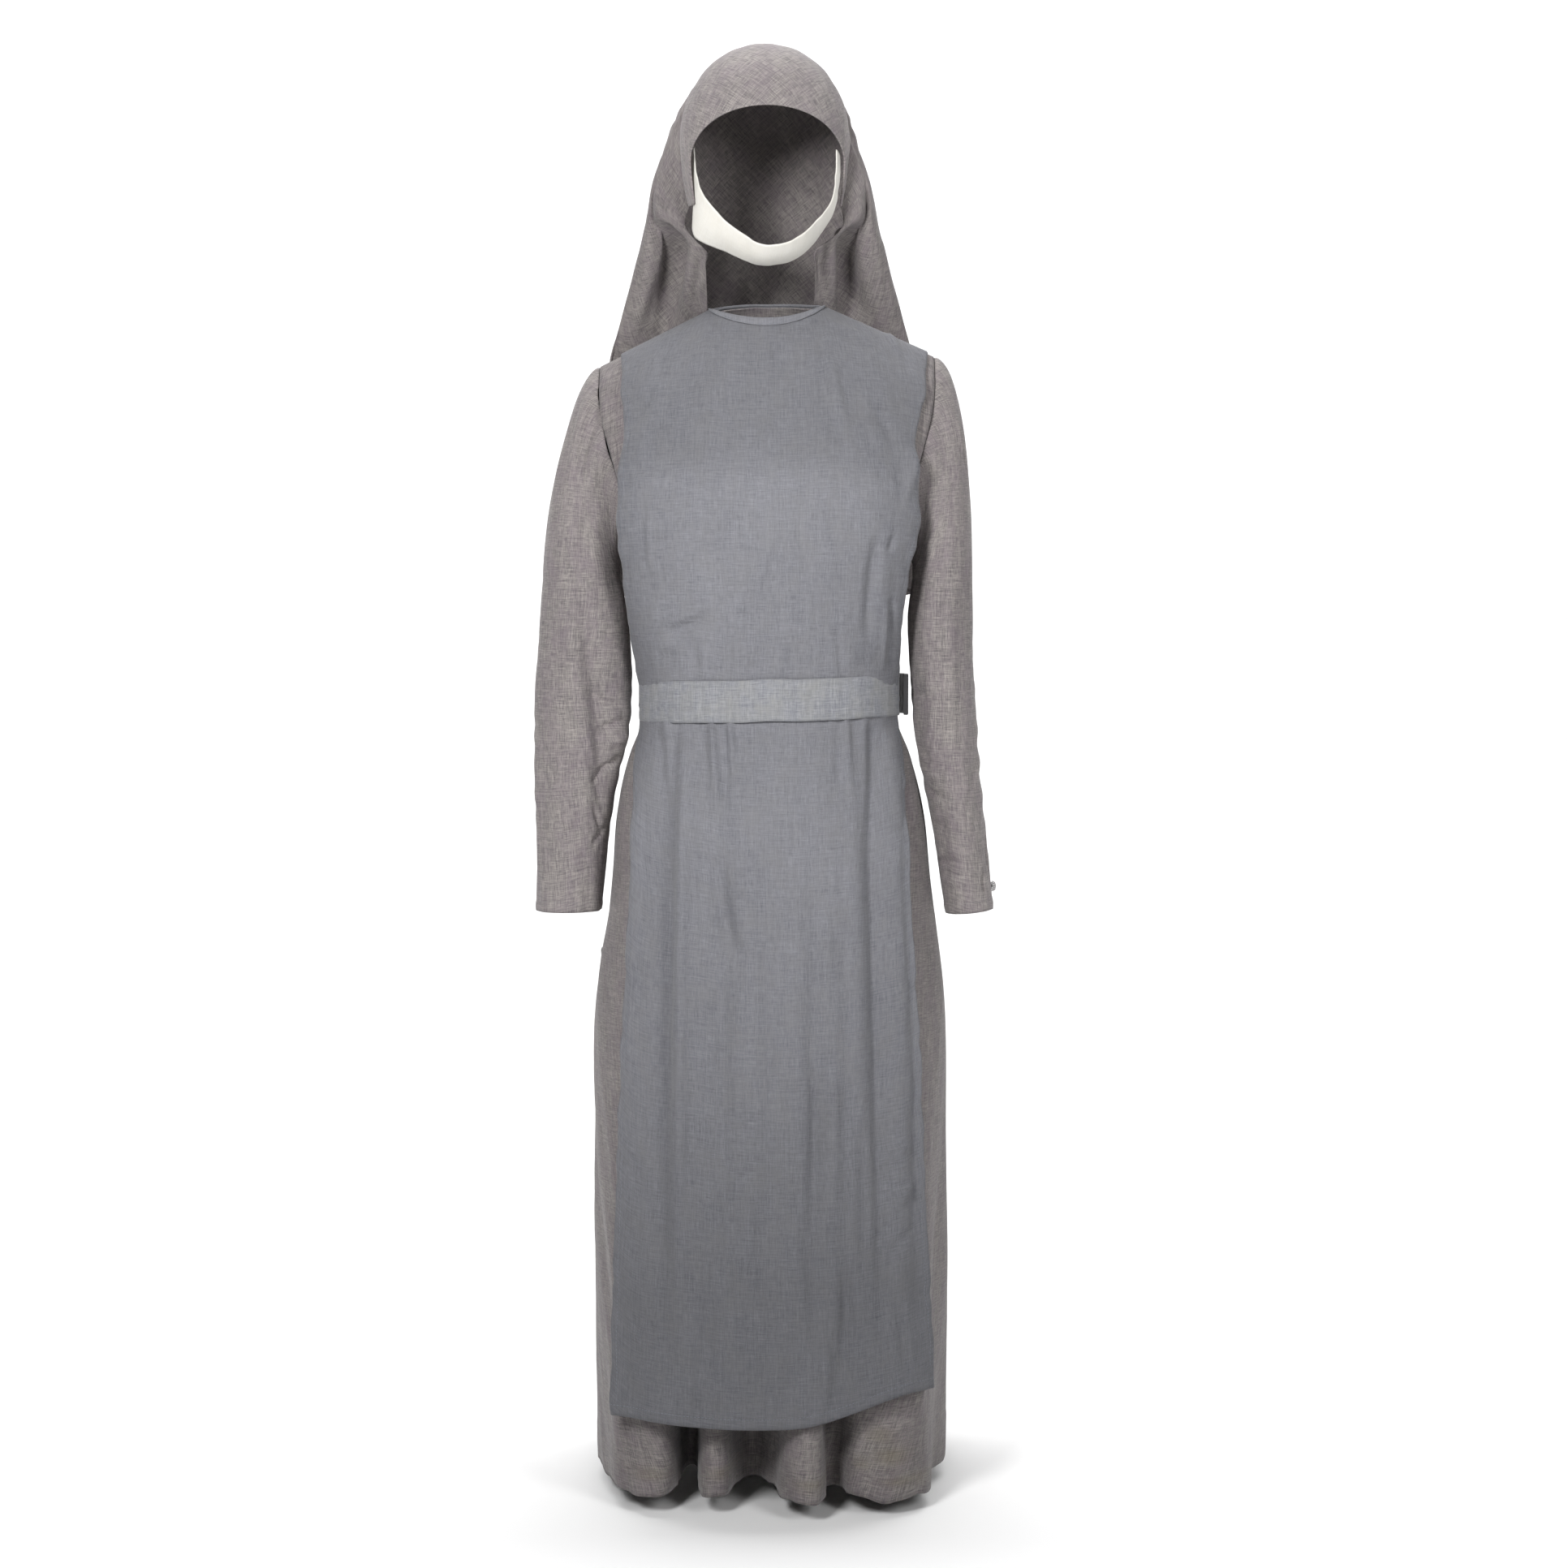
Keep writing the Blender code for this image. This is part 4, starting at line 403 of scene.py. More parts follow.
RIGHT_SLEEVE_CREASES = (
    Crease(58, -0.070, 64, -0.130, 74, -0.205, -0.0042, 0.0065, 0.5),
    Crease(44, -0.080, 50, -0.130, 60, -0.200, 0.0026, 0.0070, 0.3),
    Crease(84, -0.090, 84, -0.150, 90, -0.230, 0.0022, 0.0070, 0.2),
    Crease(90, -0.180, 92, -0.250, 94, -0.330, -0.0030, 0.0110, 0.0),
    Crease(94, -0.316, 106, -0.440, 140, -0.582, -0.0045, 0.0120, 0.0),
    Crease(78, -0.340, 88, -0.440, 112, -0.590, 0.0022, 0.0120, 0.0),
    Crease(104, -0.435, 118, -0.446, 142, -0.452, -0.0036, 0.0042, 0.2),
    Crease(112, -0.484, 130, -0.474, 158, -0.466, -0.0040, 0.0045, 0.2),
    Crease(116, -0.541, 136, -0.522, 166, -0.509, -0.0042, 0.0045, 0.2),
    Crease(122, -0.566, 134, -0.584, 150, -0.600, -0.0032, 0.0042, 0.1),
    Crease(126, -0.612, 142, -0.600, 166, -0.590, -0.0032, 0.0042, 0.1),
    Crease(120, -0.500, 138, -0.494, 170, -0.488, 0.0026, 0.0045, 0.1),
    Crease(39, -0.568, 74, -0.546, 104, -0.550, 0.0018, 0.0045, 0.0),
    Crease(42, -0.528, 70, -0.513, 98, -0.510, 0.0016, 0.0045, 0.0),
    Crease(56, -0.582, 80, -0.592, 104, -0.588, -0.0016, 0.0040, 0.0),
    Crease(40, -0.552, 66, -0.534, 92, -0.530, -0.0014, 0.0040, 0.0),
    Crease(60, -0.630, 84, -0.622, 120, -0.632, 0.0014, 0.0050, 0.0),
    Crease(210, -0.450, 232, -0.462, 262, -0.455, -0.0032, 0.0050, 0.2),
    Crease(196, -0.500, 226, -0.490, 260, -0.498, -0.0036, 0.0050, 0.2),
    Crease(200, -0.540, 230, -0.552, 264, -0.545, -0.0030, 0.0050, 0.2),
    Crease(250, -0.150, 256, -0.230, 262, -0.320, -0.0026, 0.0100, 0.0),
    Crease(300, -0.100, 294, -0.170, 290, -0.250, 0.0024, 0.0090, 0.3),
)
LEFT_SLEEVE_CREASES = (
    Crease(40, -0.119, 42, -0.142, 36, -0.168, 0.0022, 0.0050, 0.1),
    Crease(32, -0.125, 34, -0.150, 28, -0.175, -0.0020, 0.0045, 0.1),
    Crease(74, -0.180, 80, -0.204, 86, -0.232, 0.0014, 0.0055, 0.0),
    Crease(62, -0.075, 70, -0.130, 78, -0.200, -0.0022, 0.0070, 0.4),
    Crease(96, -0.240, 100, -0.340, 108, -0.440, -0.0018, 0.0120, 0.0),
    Crease(72, -0.300, 78, -0.420, 84, -0.520, 0.0014, 0.0120, 0.0),
    Crease(170, -0.495, 150, -0.506, 126, -0.518, -0.0032, 0.0042, 0.5),
    Crease(168, -0.520, 146, -0.530, 122, -0.528, 0.0020, 0.0042, 0.4),
    Crease(168, -0.545, 140, -0.553, 110, -0.556, -0.0028, 0.0042, 0.5),
    Crease(165, -0.585, 142, -0.590, 120, -0.584, -0.0026, 0.0040, 0.4),
    Crease(168, -0.630, 130, -0.630, 92, -0.626, -0.0028, 0.0042, 0.4),
    Crease(160, -0.650, 128, -0.655, 98, -0.650, 0.0018, 0.0042, 0.2),
    Crease(40, -0.640, 52, -0.655, 48, -0.672, -0.0024, 0.0040, 0.2),
    Crease(14, -0.600, 22, -0.625, 16, -0.650, -0.0022, 0.0045, 0.0),
    Crease(170, -0.440, 148, -0.436, 126, -0.444, -0.0022, 0.0050, 0.4),
    Crease(205, -0.470, 232, -0.480, 262, -0.474, -0.0032, 0.0050, 0.2),
    Crease(200, -0.520, 228, -0.512, 258, -0.520, -0.0030, 0.0050, 0.2),
    Crease(254, -0.160, 260, -0.240, 264, -0.330, -0.0024, 0.0100, 0.0),
)
VEIL_CREASES = (
    Crease(-0.104, 0.180, -0.103, 0.100, -0.128, -0.030, -0.0150, 0.0130, 0.0),
    Crease(-0.124, 0.170, -0.128, 0.090, -0.158, -0.020, 0.0050, 0.0090, 0.0),
    Crease(-0.082, 0.120, -0.084, 0.070, -0.100, 0.000, 0.0060, 0.0080, 0.0),
    Crease(-0.066, 0.130, -0.064, 0.070, -0.066, 0.010, -0.0060, 0.0070, 0.0),
    Crease(0.094, 0.130, 0.091, 0.060, 0.094, -0.020, -0.0120, 0.0110, 0.0),
    Crease(0.108, 0.150, 0.112, 0.080, 0.126, -0.010, 0.0050, 0.0100, 0.0),
    Crease(0.076, 0.095, 0.076, 0.050, 0.080, 0.000, 0.0040, 0.0080, 0.0),
    Crease(0.058, 0.110, 0.060, 0.070, 0.062, 0.020, -0.0060, 0.0070, 0.0),
)
VEIL_BACK_CREASES = (
    Crease(-0.118, 0.100, -0.126, -0.060, -0.130, -0.290, 0.0080, 0.0120, 0.3),
    Crease(-0.074, 0.130, -0.080, -0.040, -0.084, -0.290, 0.0100, 0.0140, 0.4),
    Crease(-0.036, 0.060, -0.038, -0.100, -0.040, -0.290, 0.0070, 0.0120, 0.6),
    Crease(0.006, 0.120, 0.010, -0.060, 0.012, -0.290, 0.0090, 0.0140, 0.4),
    Crease(0.052, 0.050, 0.056, -0.110, 0.058, -0.290, 0.0080, 0.0120, 0.6),
    Crease(0.092, 0.130, 0.098, -0.040, 0.104, -0.290, 0.0100, 0.0140, 0.4),
    Crease(0.128, 0.080, 0.136, -0.080, 0.140, -0.290, 0.0060, 0.0100, 0.4),
)
TUNIC_FRONT_CREASES = (
    Crease(-0.178, -0.560, -0.184, -0.640, -0.190, -0.740, -0.0024, 0.0060, 0.3),
    Crease(0.176, -0.520, 0.186, -0.600, 0.196, -0.700, -0.0024, 0.0070, 0.4),
    Crease(0.060, -1.278, 0.115, -1.272, 0.180, -1.276, -0.0010, 0.0030, 0.0),
    Crease(0.080, -1.262, 0.120, -1.256, 0.170, -1.262, 0.0010, 0.0030, 0.0),
)
TUNIC_BACK_CREASES = (
    Crease(0.190, -0.540, 0.196, -0.640, 0.204, -0.760, -0.0022, 0.0070, 0.3),
    Crease(-0.184, -0.560, -0.190, -0.660, -0.194, -0.780, -0.0022, 0.0070, 0.3),
)

# Cloth: two thread colours, linear, a tint between them, how much they differ, the way the threads
# run, in degrees, and how crumpled the cloth is
Weave = namedtuple("Weave", "dark light tint contrast bias crumple")
WARM = Weave((0.118, 0.106, 0.110), (0.290, 0.266, 0.252), (0.165, 0.131, 0.158), 1.9, 0.0, 0.30)
WARM_BIAS = Weave((0.132, 0.118, 0.122), (0.318, 0.292, 0.276), (0.182, 0.146, 0.174), 1.9, 43.0, 0.22)
BLUE = Weave((0.118, 0.119, 0.134), (0.238, 0.239, 0.260), (0.190, 0.188, 0.194), 1.1, 0.0, 0.30)
BELT_WEAVE = Weave((0.145, 0.149, 0.172), (0.285, 0.289, 0.302), (0.255, 0.251, 0.225), 1.5, 0.0, 0.10)
IVORY_WEAVE = Weave((0.660, 0.640, 0.590), (0.760, 0.745, 0.700), (0.700, 0.670, 0.600), 0.7, 0.0, 0.05)
STAIN = (0.110, 0.095, 0.050)
THREAD_GREY = (0.200, 0.195, 0.200)
THREAD_BLUE = (0.150, 0.165, 0.190)


def smooth(low, high, value):
    """0 below low, 1 above high and an even ease between them; low may be above high."""
    share = np.clip((value - low) / (high - low), 0.0, 1.0)
    return share * share * (3.0 - 2.0 * share)


def follow(table, column, z):
    """A column of a table at height z, on a smooth curve through its rows."""
    rows = sorted(table, key=lambda row: row.z)
    at = np.array([row.z for row in rows])
    value = np.array([getattr(row, column) for row in rows])
    slope = np.gradient(value, at)
    z = np.clip(np.asarray(z, float), at[0], at[-1])
    i = np.clip(np.searchsorted(at, z) - 1, 0, len(at) - 2)
    span = at[i + 1] - at[i]
    t = (z - at[i]) / span
    return (
        value[i] * (1 + 2 * t) * (1 - t) ** 2
        + value[i + 1] * t * t * (3 - 2 * t)
        + span * t * (1 - t) * (slope[i] * (1 - t) - slope[i + 1] * t)
    )


def through(points, share):
    """Points on a smooth curve through a list of points, at shares of its length from 0 to 1."""
    points = np.asarray(points, float)
    steps = np.linalg.norm(np.diff(points, axis=0), axis=1)
    at = np.concatenate([[0.0], np.cumsum(steps)]) / steps.sum()
    slope = np.gradient(points, at, axis=0)
    i = np.clip(np.searchsorted(at, share) - 1, 0, len(at) - 2)
    span = (at[i + 1] - at[i])[:, None]
    t = (np.asarray(share)[:, None] - at[i][:, None]) / span
    return (
        points[i] * (1 + 2 * t) * (1 - t) ** 2
        + points[i + 1] * t * t * (3 - 2 * t)
        + span * t * (1 - t) * (slope[i] * (1 - t) - slope[i + 1] * t)
    )


def shoulder_z(x, ease=0.0):
    """Height of the shoulder line at x."""
    away = np.abs(x)
    return NECK_CORNER_Z + SHOULDER_SLOPE * (NECK_HALF_WIDTH - away) + SHOULDER_LEAN * x + ease


def form_depth(x, z, side, ease=0.0, reach=None, square=None):
    """How far the body form reaches from the seam plane at x and z. side is front or back."""
    centre = follow(BODY, "centre_x", z)
    half = follow(BODY, "half_width", z) + ease if reach is None else reach
    power = follow(BODY, "square", z) if square is None else square
    share = np.clip(np.abs(x - centre) / half, 0.0, 1.0)
    round_section = (1.0 - share**power) ** (1.0 / power)
    rise = (z - ARMPIT_Z) / (shoulder_z(x, ease) - ARMPIT_Z)
    rise = np.clip(rise, 0.0, 1.0)
    over_shoulder = np.sqrt(1.0 - rise**SHOULDER_ROUNDING)
    return (follow(BODY, side, z) + ease) * round_section * over_shoulder


def ring_point(angle, z, side, ease=0.0):
    """(x, y) on the level cut at z, in the direction angle from the front or back centre."""
    a = follow(BODY, "half_width", z) + ease
    b = follow(BODY, side, z) + ease
    power = follow(BODY, "square", z)
    s, c = np.sin(np.radians(angle)), np.cos(np.radians(angle))
    r = (np.abs(s / a) ** power + np.abs(c / b) ** power) ** (-1.0 / power)
    way = -1.0 if side == "front" else 1.0
    return follow(BODY, "centre_x", z) + r * s, way * r * c


def hem_line(turns, side):
    """Angles of a panel's columns and the hem's (x, y) at each, on a curve through the turns."""
    way = -1.0 if side == "front" else 1.0
    ends = []
    for angle in (-90.0, 90.0):
        x, y = ring_point(angle, -NECK_TO_HEM, side)
        ends.append(Turn(angle, float(x), 0.0, way * -angle, 0.080, 2))
    turns = (ends[0], *turns, ends[1])
    angles, hem = [-90.0], [(turns[0].x, 0.0)]
    for before, after in zip(turns, turns[1:]):
        for t in np.linspace(0.0, 1.0, FINE * after.steps + 1)[1:]:
            leave, arrive = np.radians(before.heading), np.radians(after.heading)
            x = (
                before.x * (1 + 2 * t) * (1 - t) ** 2
                + after.x * t * t * (3 - 2 * t)
                + before.reach * np.cos(leave) * t * (1 - t) ** 2
                - after.reach * np.cos(arrive) * t * t * (1 - t)
            )
            y = (
                before.y * (1 + 2 * t) * (1 - t) ** 2
                + after.y * t * t * (3 - 2 * t)
                + before.reach * np.sin(leave) * t * (1 - t) ** 2
                - after.reach * np.sin(arrive) * t * t * (1 - t)
            )
            angles.append(before.angle + (after.angle - before.angle) * t)
            hem.append((x, y))
    return np.array(angles), np.array(hem)


def skirt_row(angles, hem, z, side):
    """The tunic's points at a level below the armpit: the plain cut, moved towards the hem's folds."""
    x, y = ring_point(angles, z, side)
    end_x, end_y = ring_point(angles, -NECK_TO_HEM, side)
    grown = np.clip((FOLD_TOP_Z - z) / (FOLD_TOP_Z + NECK_TO_HEM), 0.0, 1.0) ** FOLD_GROWTH
    moved_x, moved_y = x + grown * (hem[:, 0] - end_x), y + grown * (hem[:, 1] - end_y)
    return np.stack([moved_x, moved_y, np.full(len(angles), z)], axis=-1)


def armhole_x(rise):
    """Distance of the armhole's edge from the middle, at a share of the height to the shoulder."""
    foot = follow(BODY, "half_width", ARMPIT_Z)
    return foot + (SHOULDER_TIP_X - foot) * smooth(0.12, 0.86, rise)


def top_edge(share, side, tip_right=-SHOULDER_TIP_X, tip_left=SHOULDER_TIP_X, ease=0.0):
    """(x, z) of a panel's top edge: shoulder seam, neckline, shoulder seam. share is -1 to 1."""
    neck_z = NECK_FRONT_Z if side == "front" else NECK_BACK_Z
    along_neck = np.clip(share / NECK_SHARE, -1.0, 1.0)
    neck_x = NECK_HALF_WIDTH * np.sin(along_neck * math.pi / 2)
    tip = np.where(share < 0, tip_right, tip_left)
    out = np.clip((np.abs(share) - NECK_SHARE) / (1.0 - NECK_SHARE), 0.0, 1.0)
    x = neck_x + out * (tip - neck_x)
    corner = shoulder_z(np.sign(share) * NECK_HALF_WIDTH)
    neckline = neck_z + (corner - neck_z) * (neck_x / NECK_HALF_WIDTH) ** 2
    return x, np.where(out > 0, shoulder_z(x), neckline) + ease


def grid_normals(grid, closed=False):
    """Unit normals of a grid of points, one for each, from the faces round it."""
    wide = np.concatenate([grid[:, -1:], grid, grid[:, :1]], axis=1) if closed else grid
    total = np.zeros(wide.shape)
    across = wide[:, 1:] - wide[:, :-1]
    down = wide[1:] - wide[:-1]
    for i in (0, 1):
        for j in (0, 1):
            a = across[i : across.shape[0] - 1 + i]
            d = down[:, j : down.shape[1] - 1 + j]
            face = np.cross(d, a)
            total[i : total.shape[0] - 1 + i, j : total.shape[1] - 1 + j] += face
    normals = total[:, 1:-1] if closed else total
    return normals / np.maximum(np.linalg.norm(normals, axis=-1, keepdims=True), 1e-12)


def facing_out(grid, normals, inside):
    """The normals, turned if need be so that they point away from a point or line inside."""
    away = ((grid - inside) * normals).sum()
    return normals if away > 0 else -normals


def flattened(normals, axis):
    """Unit normals with one component taken out, for a seam that lies in a plane."""
    normals = normals.copy()
    normals[..., axis] = 0.0
    return normals / np.linalg.norm(normals, axis=-1, keepdims=True)


def spine_like(grid):
    """For each point, the point of the middle line at its height."""
    middle = np.zeros(grid.shape)
    middle[..., 2] = grid[..., 2] - 0.02
    return middle


def armhole_ring(rims, which):
    """The armhole's rim all round, from the shoulder down the front and up the back."""
    front, back = rims["front"][which], rims["back"][which]
    joined = [np.concatenate([f, b[::-1]]) for f, b in zip(front, back)]
    edge, inner, before = joined
    middle = len(edge) // 2
    for ring in (edge, inner, before):
        ring[middle - 1] = (ring[middle - 1] + ring[middle]) / 2
        ring[0] = (ring[0] + ring[-1]) / 2
    keep = np.delete(np.arange(len(edge)), [middle, len(edge) - 1])
    return edge[keep], inner[keep], before[keep]


def trough_depth(troughs, share, z):
    """How deep the troughs of a panel are at shares of its width."""
    total = 0.0 * share
    for trough in troughs:
        near = np.exp(-(((share - trough.place) / trough.half_share) ** 2))
        run = smooth(trough.top_z, trough.top_z - 0.10, z)
        run = run * (1.0 - smooth(trough.bottom_z + 0.12, trough.bottom_z, z))
        total = total + trough.depth * near * run
    return total


def belt_ring(angle, ease):
    """(x, y) of the waist at an angle from the front centre, all the way round."""
    turned = (angle + 180.0) % 360.0 - 180.0
    x_front, y_front = ring_point(turned, WAIST_Z, "front", ease)
    x_back, y_back = ring_point(180.0 - turned, WAIST_Z, "back", ease)
    at_front = np.abs(turned) <= 90.0
    return np.where(at_front, x_front, x_back), np.where(at_front, y_front, y_back)


def on_head(points):
    """Points moved along rays from the head's centre on to the head form."""
    away = np.abs(points - HEAD_CENTRE)
    upright = np.where(points[..., 2] > HEAD_CENTRE[2], HEAD_ABOVE, HEAD_BELOW)
    level = (away[..., 0] / HEAD_ACROSS) ** HEAD_SQUARE + (away[..., 1] / HEAD_ALONG) ** HEAD_SQUARE
    size = np.sqrt(level ** (2.0 / HEAD_SQUARE) + (away[..., 2] / upright) ** 2)
    return HEAD_CENTRE + (points - HEAD_CENTRE) / size[..., None]


def head_front_y(x, z):
    """How far forward the head form comes at x and z."""
    upright = np.where(z > HEAD_CENTRE[2], HEAD_ABOVE, HEAD_BELOW)
    level = np.maximum(1.0 - ((z - HEAD_CENTRE[2]) / upright) ** 2, 0.0) ** (HEAD_SQUARE / 2)
    left_over = level - np.abs((x - HEAD_CENTRE[0]) / HEAD_ACROSS) ** HEAD_SQUARE
    return HEAD_CENTRE[1] - HEAD_ALONG * np.maximum(left_over, 0.02) ** (1.0 / HEAD_SQUARE)


def face_edge(t):
    """The cap band's front edge, t from -1 at the right cheek to 1 at the left cheek."""
    bend = np.clip(np.abs(t) / 0.72, 0.0, 1.0) * math.pi / 2
    below = np.clip((np.abs(t) - 0.72) / 0.28, 0.0, 1.0)
    half = FACE_HALF_WIDTH * np.sin(bend) + (FACE_TIP_HALF_WIDTH - FACE_HALF_WIDTH) * below**1.6
    x = FACE_CENTRE_X + np.sign(t) * half
    z = FACE_WIDEST_Z + (FACE_TOP_Z - FACE_WIDEST_Z) * np.cos(bend) + (CAP_TIP_Z - FACE_WIDEST_Z) * below
    return np.stack([x, head_front_y(x, z), z], axis=-1)


def cap_seam(t):
    """The line over the head where the cap band ends and the veil begins."""
    lowest = math.acos((CAP_TIP_Z - HEAD_CENTRE[2]) / HEAD_BELOW)
    bend = t * lowest
    down = np.abs(bend) / lowest
    y = CAP_SEAM_TOP_Y + (CAP_SEAM_SIDE_Y - CAP_SEAM_TOP_Y) * smooth(0.0, 0.6, down)
    y = y + (CAP_SEAM_TIP_Y - CAP_SEAM_SIDE_Y) * smooth(0.6, 1.0, down)
    upright = np.where(np.cos(bend) > 0, HEAD_ABOVE, HEAD_BELOW)
    size = np.sqrt(1.0 - ((y - HEAD_CENTRE[1]) / HEAD_ALONG) ** 2)
    x = HEAD_CENTRE[0] + HEAD_ACROSS * size * np.sin(bend)
    z = HEAD_CENTRE[2] + upright * size * np.cos(bend)
    return on_head(np.stack([x, y, z], axis=-1))


def veil_cut(t, angle, z):
    """(x, y) of the veil's level cuts; t is the column's place and angle is from straight ahead."""
    dome = np.sqrt(np.clip(1.0 - (np.maximum(z - HEAD_CENTRE[2], 0.0) / HEAD_ABOVE) ** 2, 0.0, 1.0))
    s, c = np.sin(np.radians(angle)), np.cos(np.radians(angle))
    depth = np.where(c > 0, follow(VEIL, "front", z), follow(VEIL, "back", z))
    x = VEIL_CENTRE_X + follow(VEIL, "half_width", z) * dome * s
    y = follow(VEIL, "centre_y", z) - depth * dome * c
    for fold in VEIL_FOLDS:
        near = np.exp(-(((t - fold.place) / fold.half_share) ** 2))
        grown = smooth(fold.top_z, fold.full_z, z) * (1.0 - (1.0 - fold.low_share) * smooth(0.05, -0.06, z))
        inward = 1.0 if abs(fold.place) > 0.5 else -1.0
        y = y + inward * fold.depth * near * grown
    return x, y


def smoothed(values, reach, axis=0):
    """Values evened out along an axis by a bell curve that is reach samples wide."""
    offsets = np.arange(-3 * reach, 3 * reach + 1)
    weights = np.exp(-((offsets / reach) ** 2))
    padded = np.pad(values, [(3 * reach,) * 2 if k == axis else (0, 0) for k in range(values.ndim)], "edge")
    total = 0.0
    for offset, weight in zip(offsets, weights / weights.sum()):
        start = 3 * reach + offset
        total = total + weight * np.take(padded, range(start, start + values.shape[axis]), axis=axis)
    return total


def ripples(a, b, seed, short, long, upright=4.0, waves=28):
    """Uneven low waves over a surface, about 1 high; upright is how much longer they run along b."""
    draw = np.random.default_rng(seed)
    total = 0.0
    for _ in range(waves):
        length = short * (long / short) ** draw.random()
        lean = draw.normal(0.0, 0.18)
        phase = draw.random() * 2.0 * math.pi
        along_a = math.cos(lean) * 2.0 * math.pi / length
        along_b = math.sin(lean) * 2.0 * math.pi / (length * upright)
        total = total + (length / long) * np.sin(along_a * a + along_b * b + phase)
    return total * (2.0 / waves) ** 0.5


def crease_height(creases, a, z, a_scale=1.0):
    """The height of all the creases at points (a, z); a_scale turns a into metres."""
    total = np.zeros(a.shape)
    share = np.linspace(0.0, 1.0, 13)
    first, middle, last = (2 * share - 1) * (share - 1), 4 * share * (1 - share), share * (2 * share - 1)
    for c in creases:
        path_a = (c.a0 * first + c.a1 * middle + c.a2 * last) * a_scale
        path_z = c.z0 * first + c.z1 * middle + c.z2 * last
        reach = 3.5 * c.half_width
        near = (a * a_scale > path_a.min() - reach) & (a * a_scale < path_a.max() + reach)
        near &= (z > path_z.min() - reach) & (z < path_z.max() + reach)
        if not near.any():
            continue
        step_a, step_z = np.diff(path_a), np.diff(path_z)
        off_a, off_z = a[near, None] * a_scale - path_a[:-1], z[near, None] - path_z[:-1]
        along = np.clip((off_a * step_a + off_z * step_z) / (step_a**2 + step_z**2), 0.0, 1.0)
        off = np.hypot(off_a - along * step_a, off_z - along * step_z)
        nearest = off.argmin(axis=1)
        s = (nearest + along[np.arange(len(nearest)), nearest]) / (len(share) - 1)
        fade = (1 - c.root) * np.sin(math.pi * s) ** 0.8 + c.root * np.cos(math.pi * s / 2)
        r = off.min(axis=1) / c.half_width
        total[near] += c.depth * fade * np.exp(-r * r) * (1.0 - 0.5 * r * r)
    return total


def arc_lengths(grid):
    """Distances along the cloth: across from the middle column, and down from the top row."""
    across = np.linalg.norm(np.diff(grid, axis=1), axis=-1)
    across = np.concatenate([np.zeros((len(grid), 1)), np.cumsum(across, axis=1)], axis=1)
    middle = grid.shape[1] // 2
    down = np.linalg.norm(np.diff(grid, axis=0), axis=-1)
    down = np.concatenate([np.zeros((1, grid.shape[1])), np.cumsum(down, axis=0)], axis=0)
    return across - across[:, middle : middle + 1], down


def search_tree(*grids):
    """A search tree over grids of points, each with its normals."""
    points, faces = [], []
    for grid, normals in grids:
        rows, columns = grid.shape[:2]
        index = np.arange(rows * columns).reshape(rows, columns) + len(points)
        quads = np.stack([index[:-1, :-1], index[1:, :-1], index[1:, 1:], index[:-1, 1:]], axis=-1)
        up = np.cross(grid[1:, :-1] - grid[:-1, :-1], grid[:-1, 1:] - grid[:-1, :-1]) * normals[:-1, :-1]
        if up.sum() < 0:
            quads = quads[..., ::-1]
        faces += quads.reshape(-1, 4).tolist()
        points += grid.reshape(-1, 3).tolist()
    return BVHTree.FromPolygons(points, faces)


def laid_over(grid, under, gap, deepest=0.015, rounds=3):
    """The grid moved, where it must, to stay a gap above a surface, with the change eased out."""
    grid = grid.copy()
    gap = np.broadcast_to(gap, grid.shape[:2])
    for turn in range(rounds):
        push = np.zeros(grid.shape)
        for i, j in np.ndindex(grid.shape[:2]):
            near, normal, _, distance = under.find_nearest(grid[i, j].tolist(), 0.03)
            if near is None:
                continue
            height = (grid[i, j] - np.array(near)) @ np.array(normal)
            if abs(height) < 0.8 * distance or height >= gap[i, j] or distance > max(gap[i, j], deepest):
                continue
            push[i, j] = (gap[i, j] - height) * np.array(normal)
        if not push.any():
            break
        if turn < rounds - 1:
            eased = smoothed(smoothed(push, 2, 0), 2, 1)
            push = np.where(np.linalg.norm(eased, axis=-1, keepdims=True) > 0, 0.5 * push + 0.5 * eased, push)
        grid += push
    return grid


def hem_relief(distance, width, rise=0.0006, groove=0.0005):
    """How far a turned hem stands out, with the line of its stitches pulled in."""
    band = smooth(width + 0.0012, width - 0.0008, distance)
    line = np.exp(-(((distance - width + 0.0025) / 0.0011) ** 2))
    edge = 1.0 - smooth(0.0, 0.0015, distance)
    return rise * band - groove * line - 0.6 * rise * edge


def seam_relief(distance, depth=0.0013, half_width=0.0022):
    """How far a surface dips next to a seam."""
    return -depth * np.exp(-((distance / half_width) ** 2))


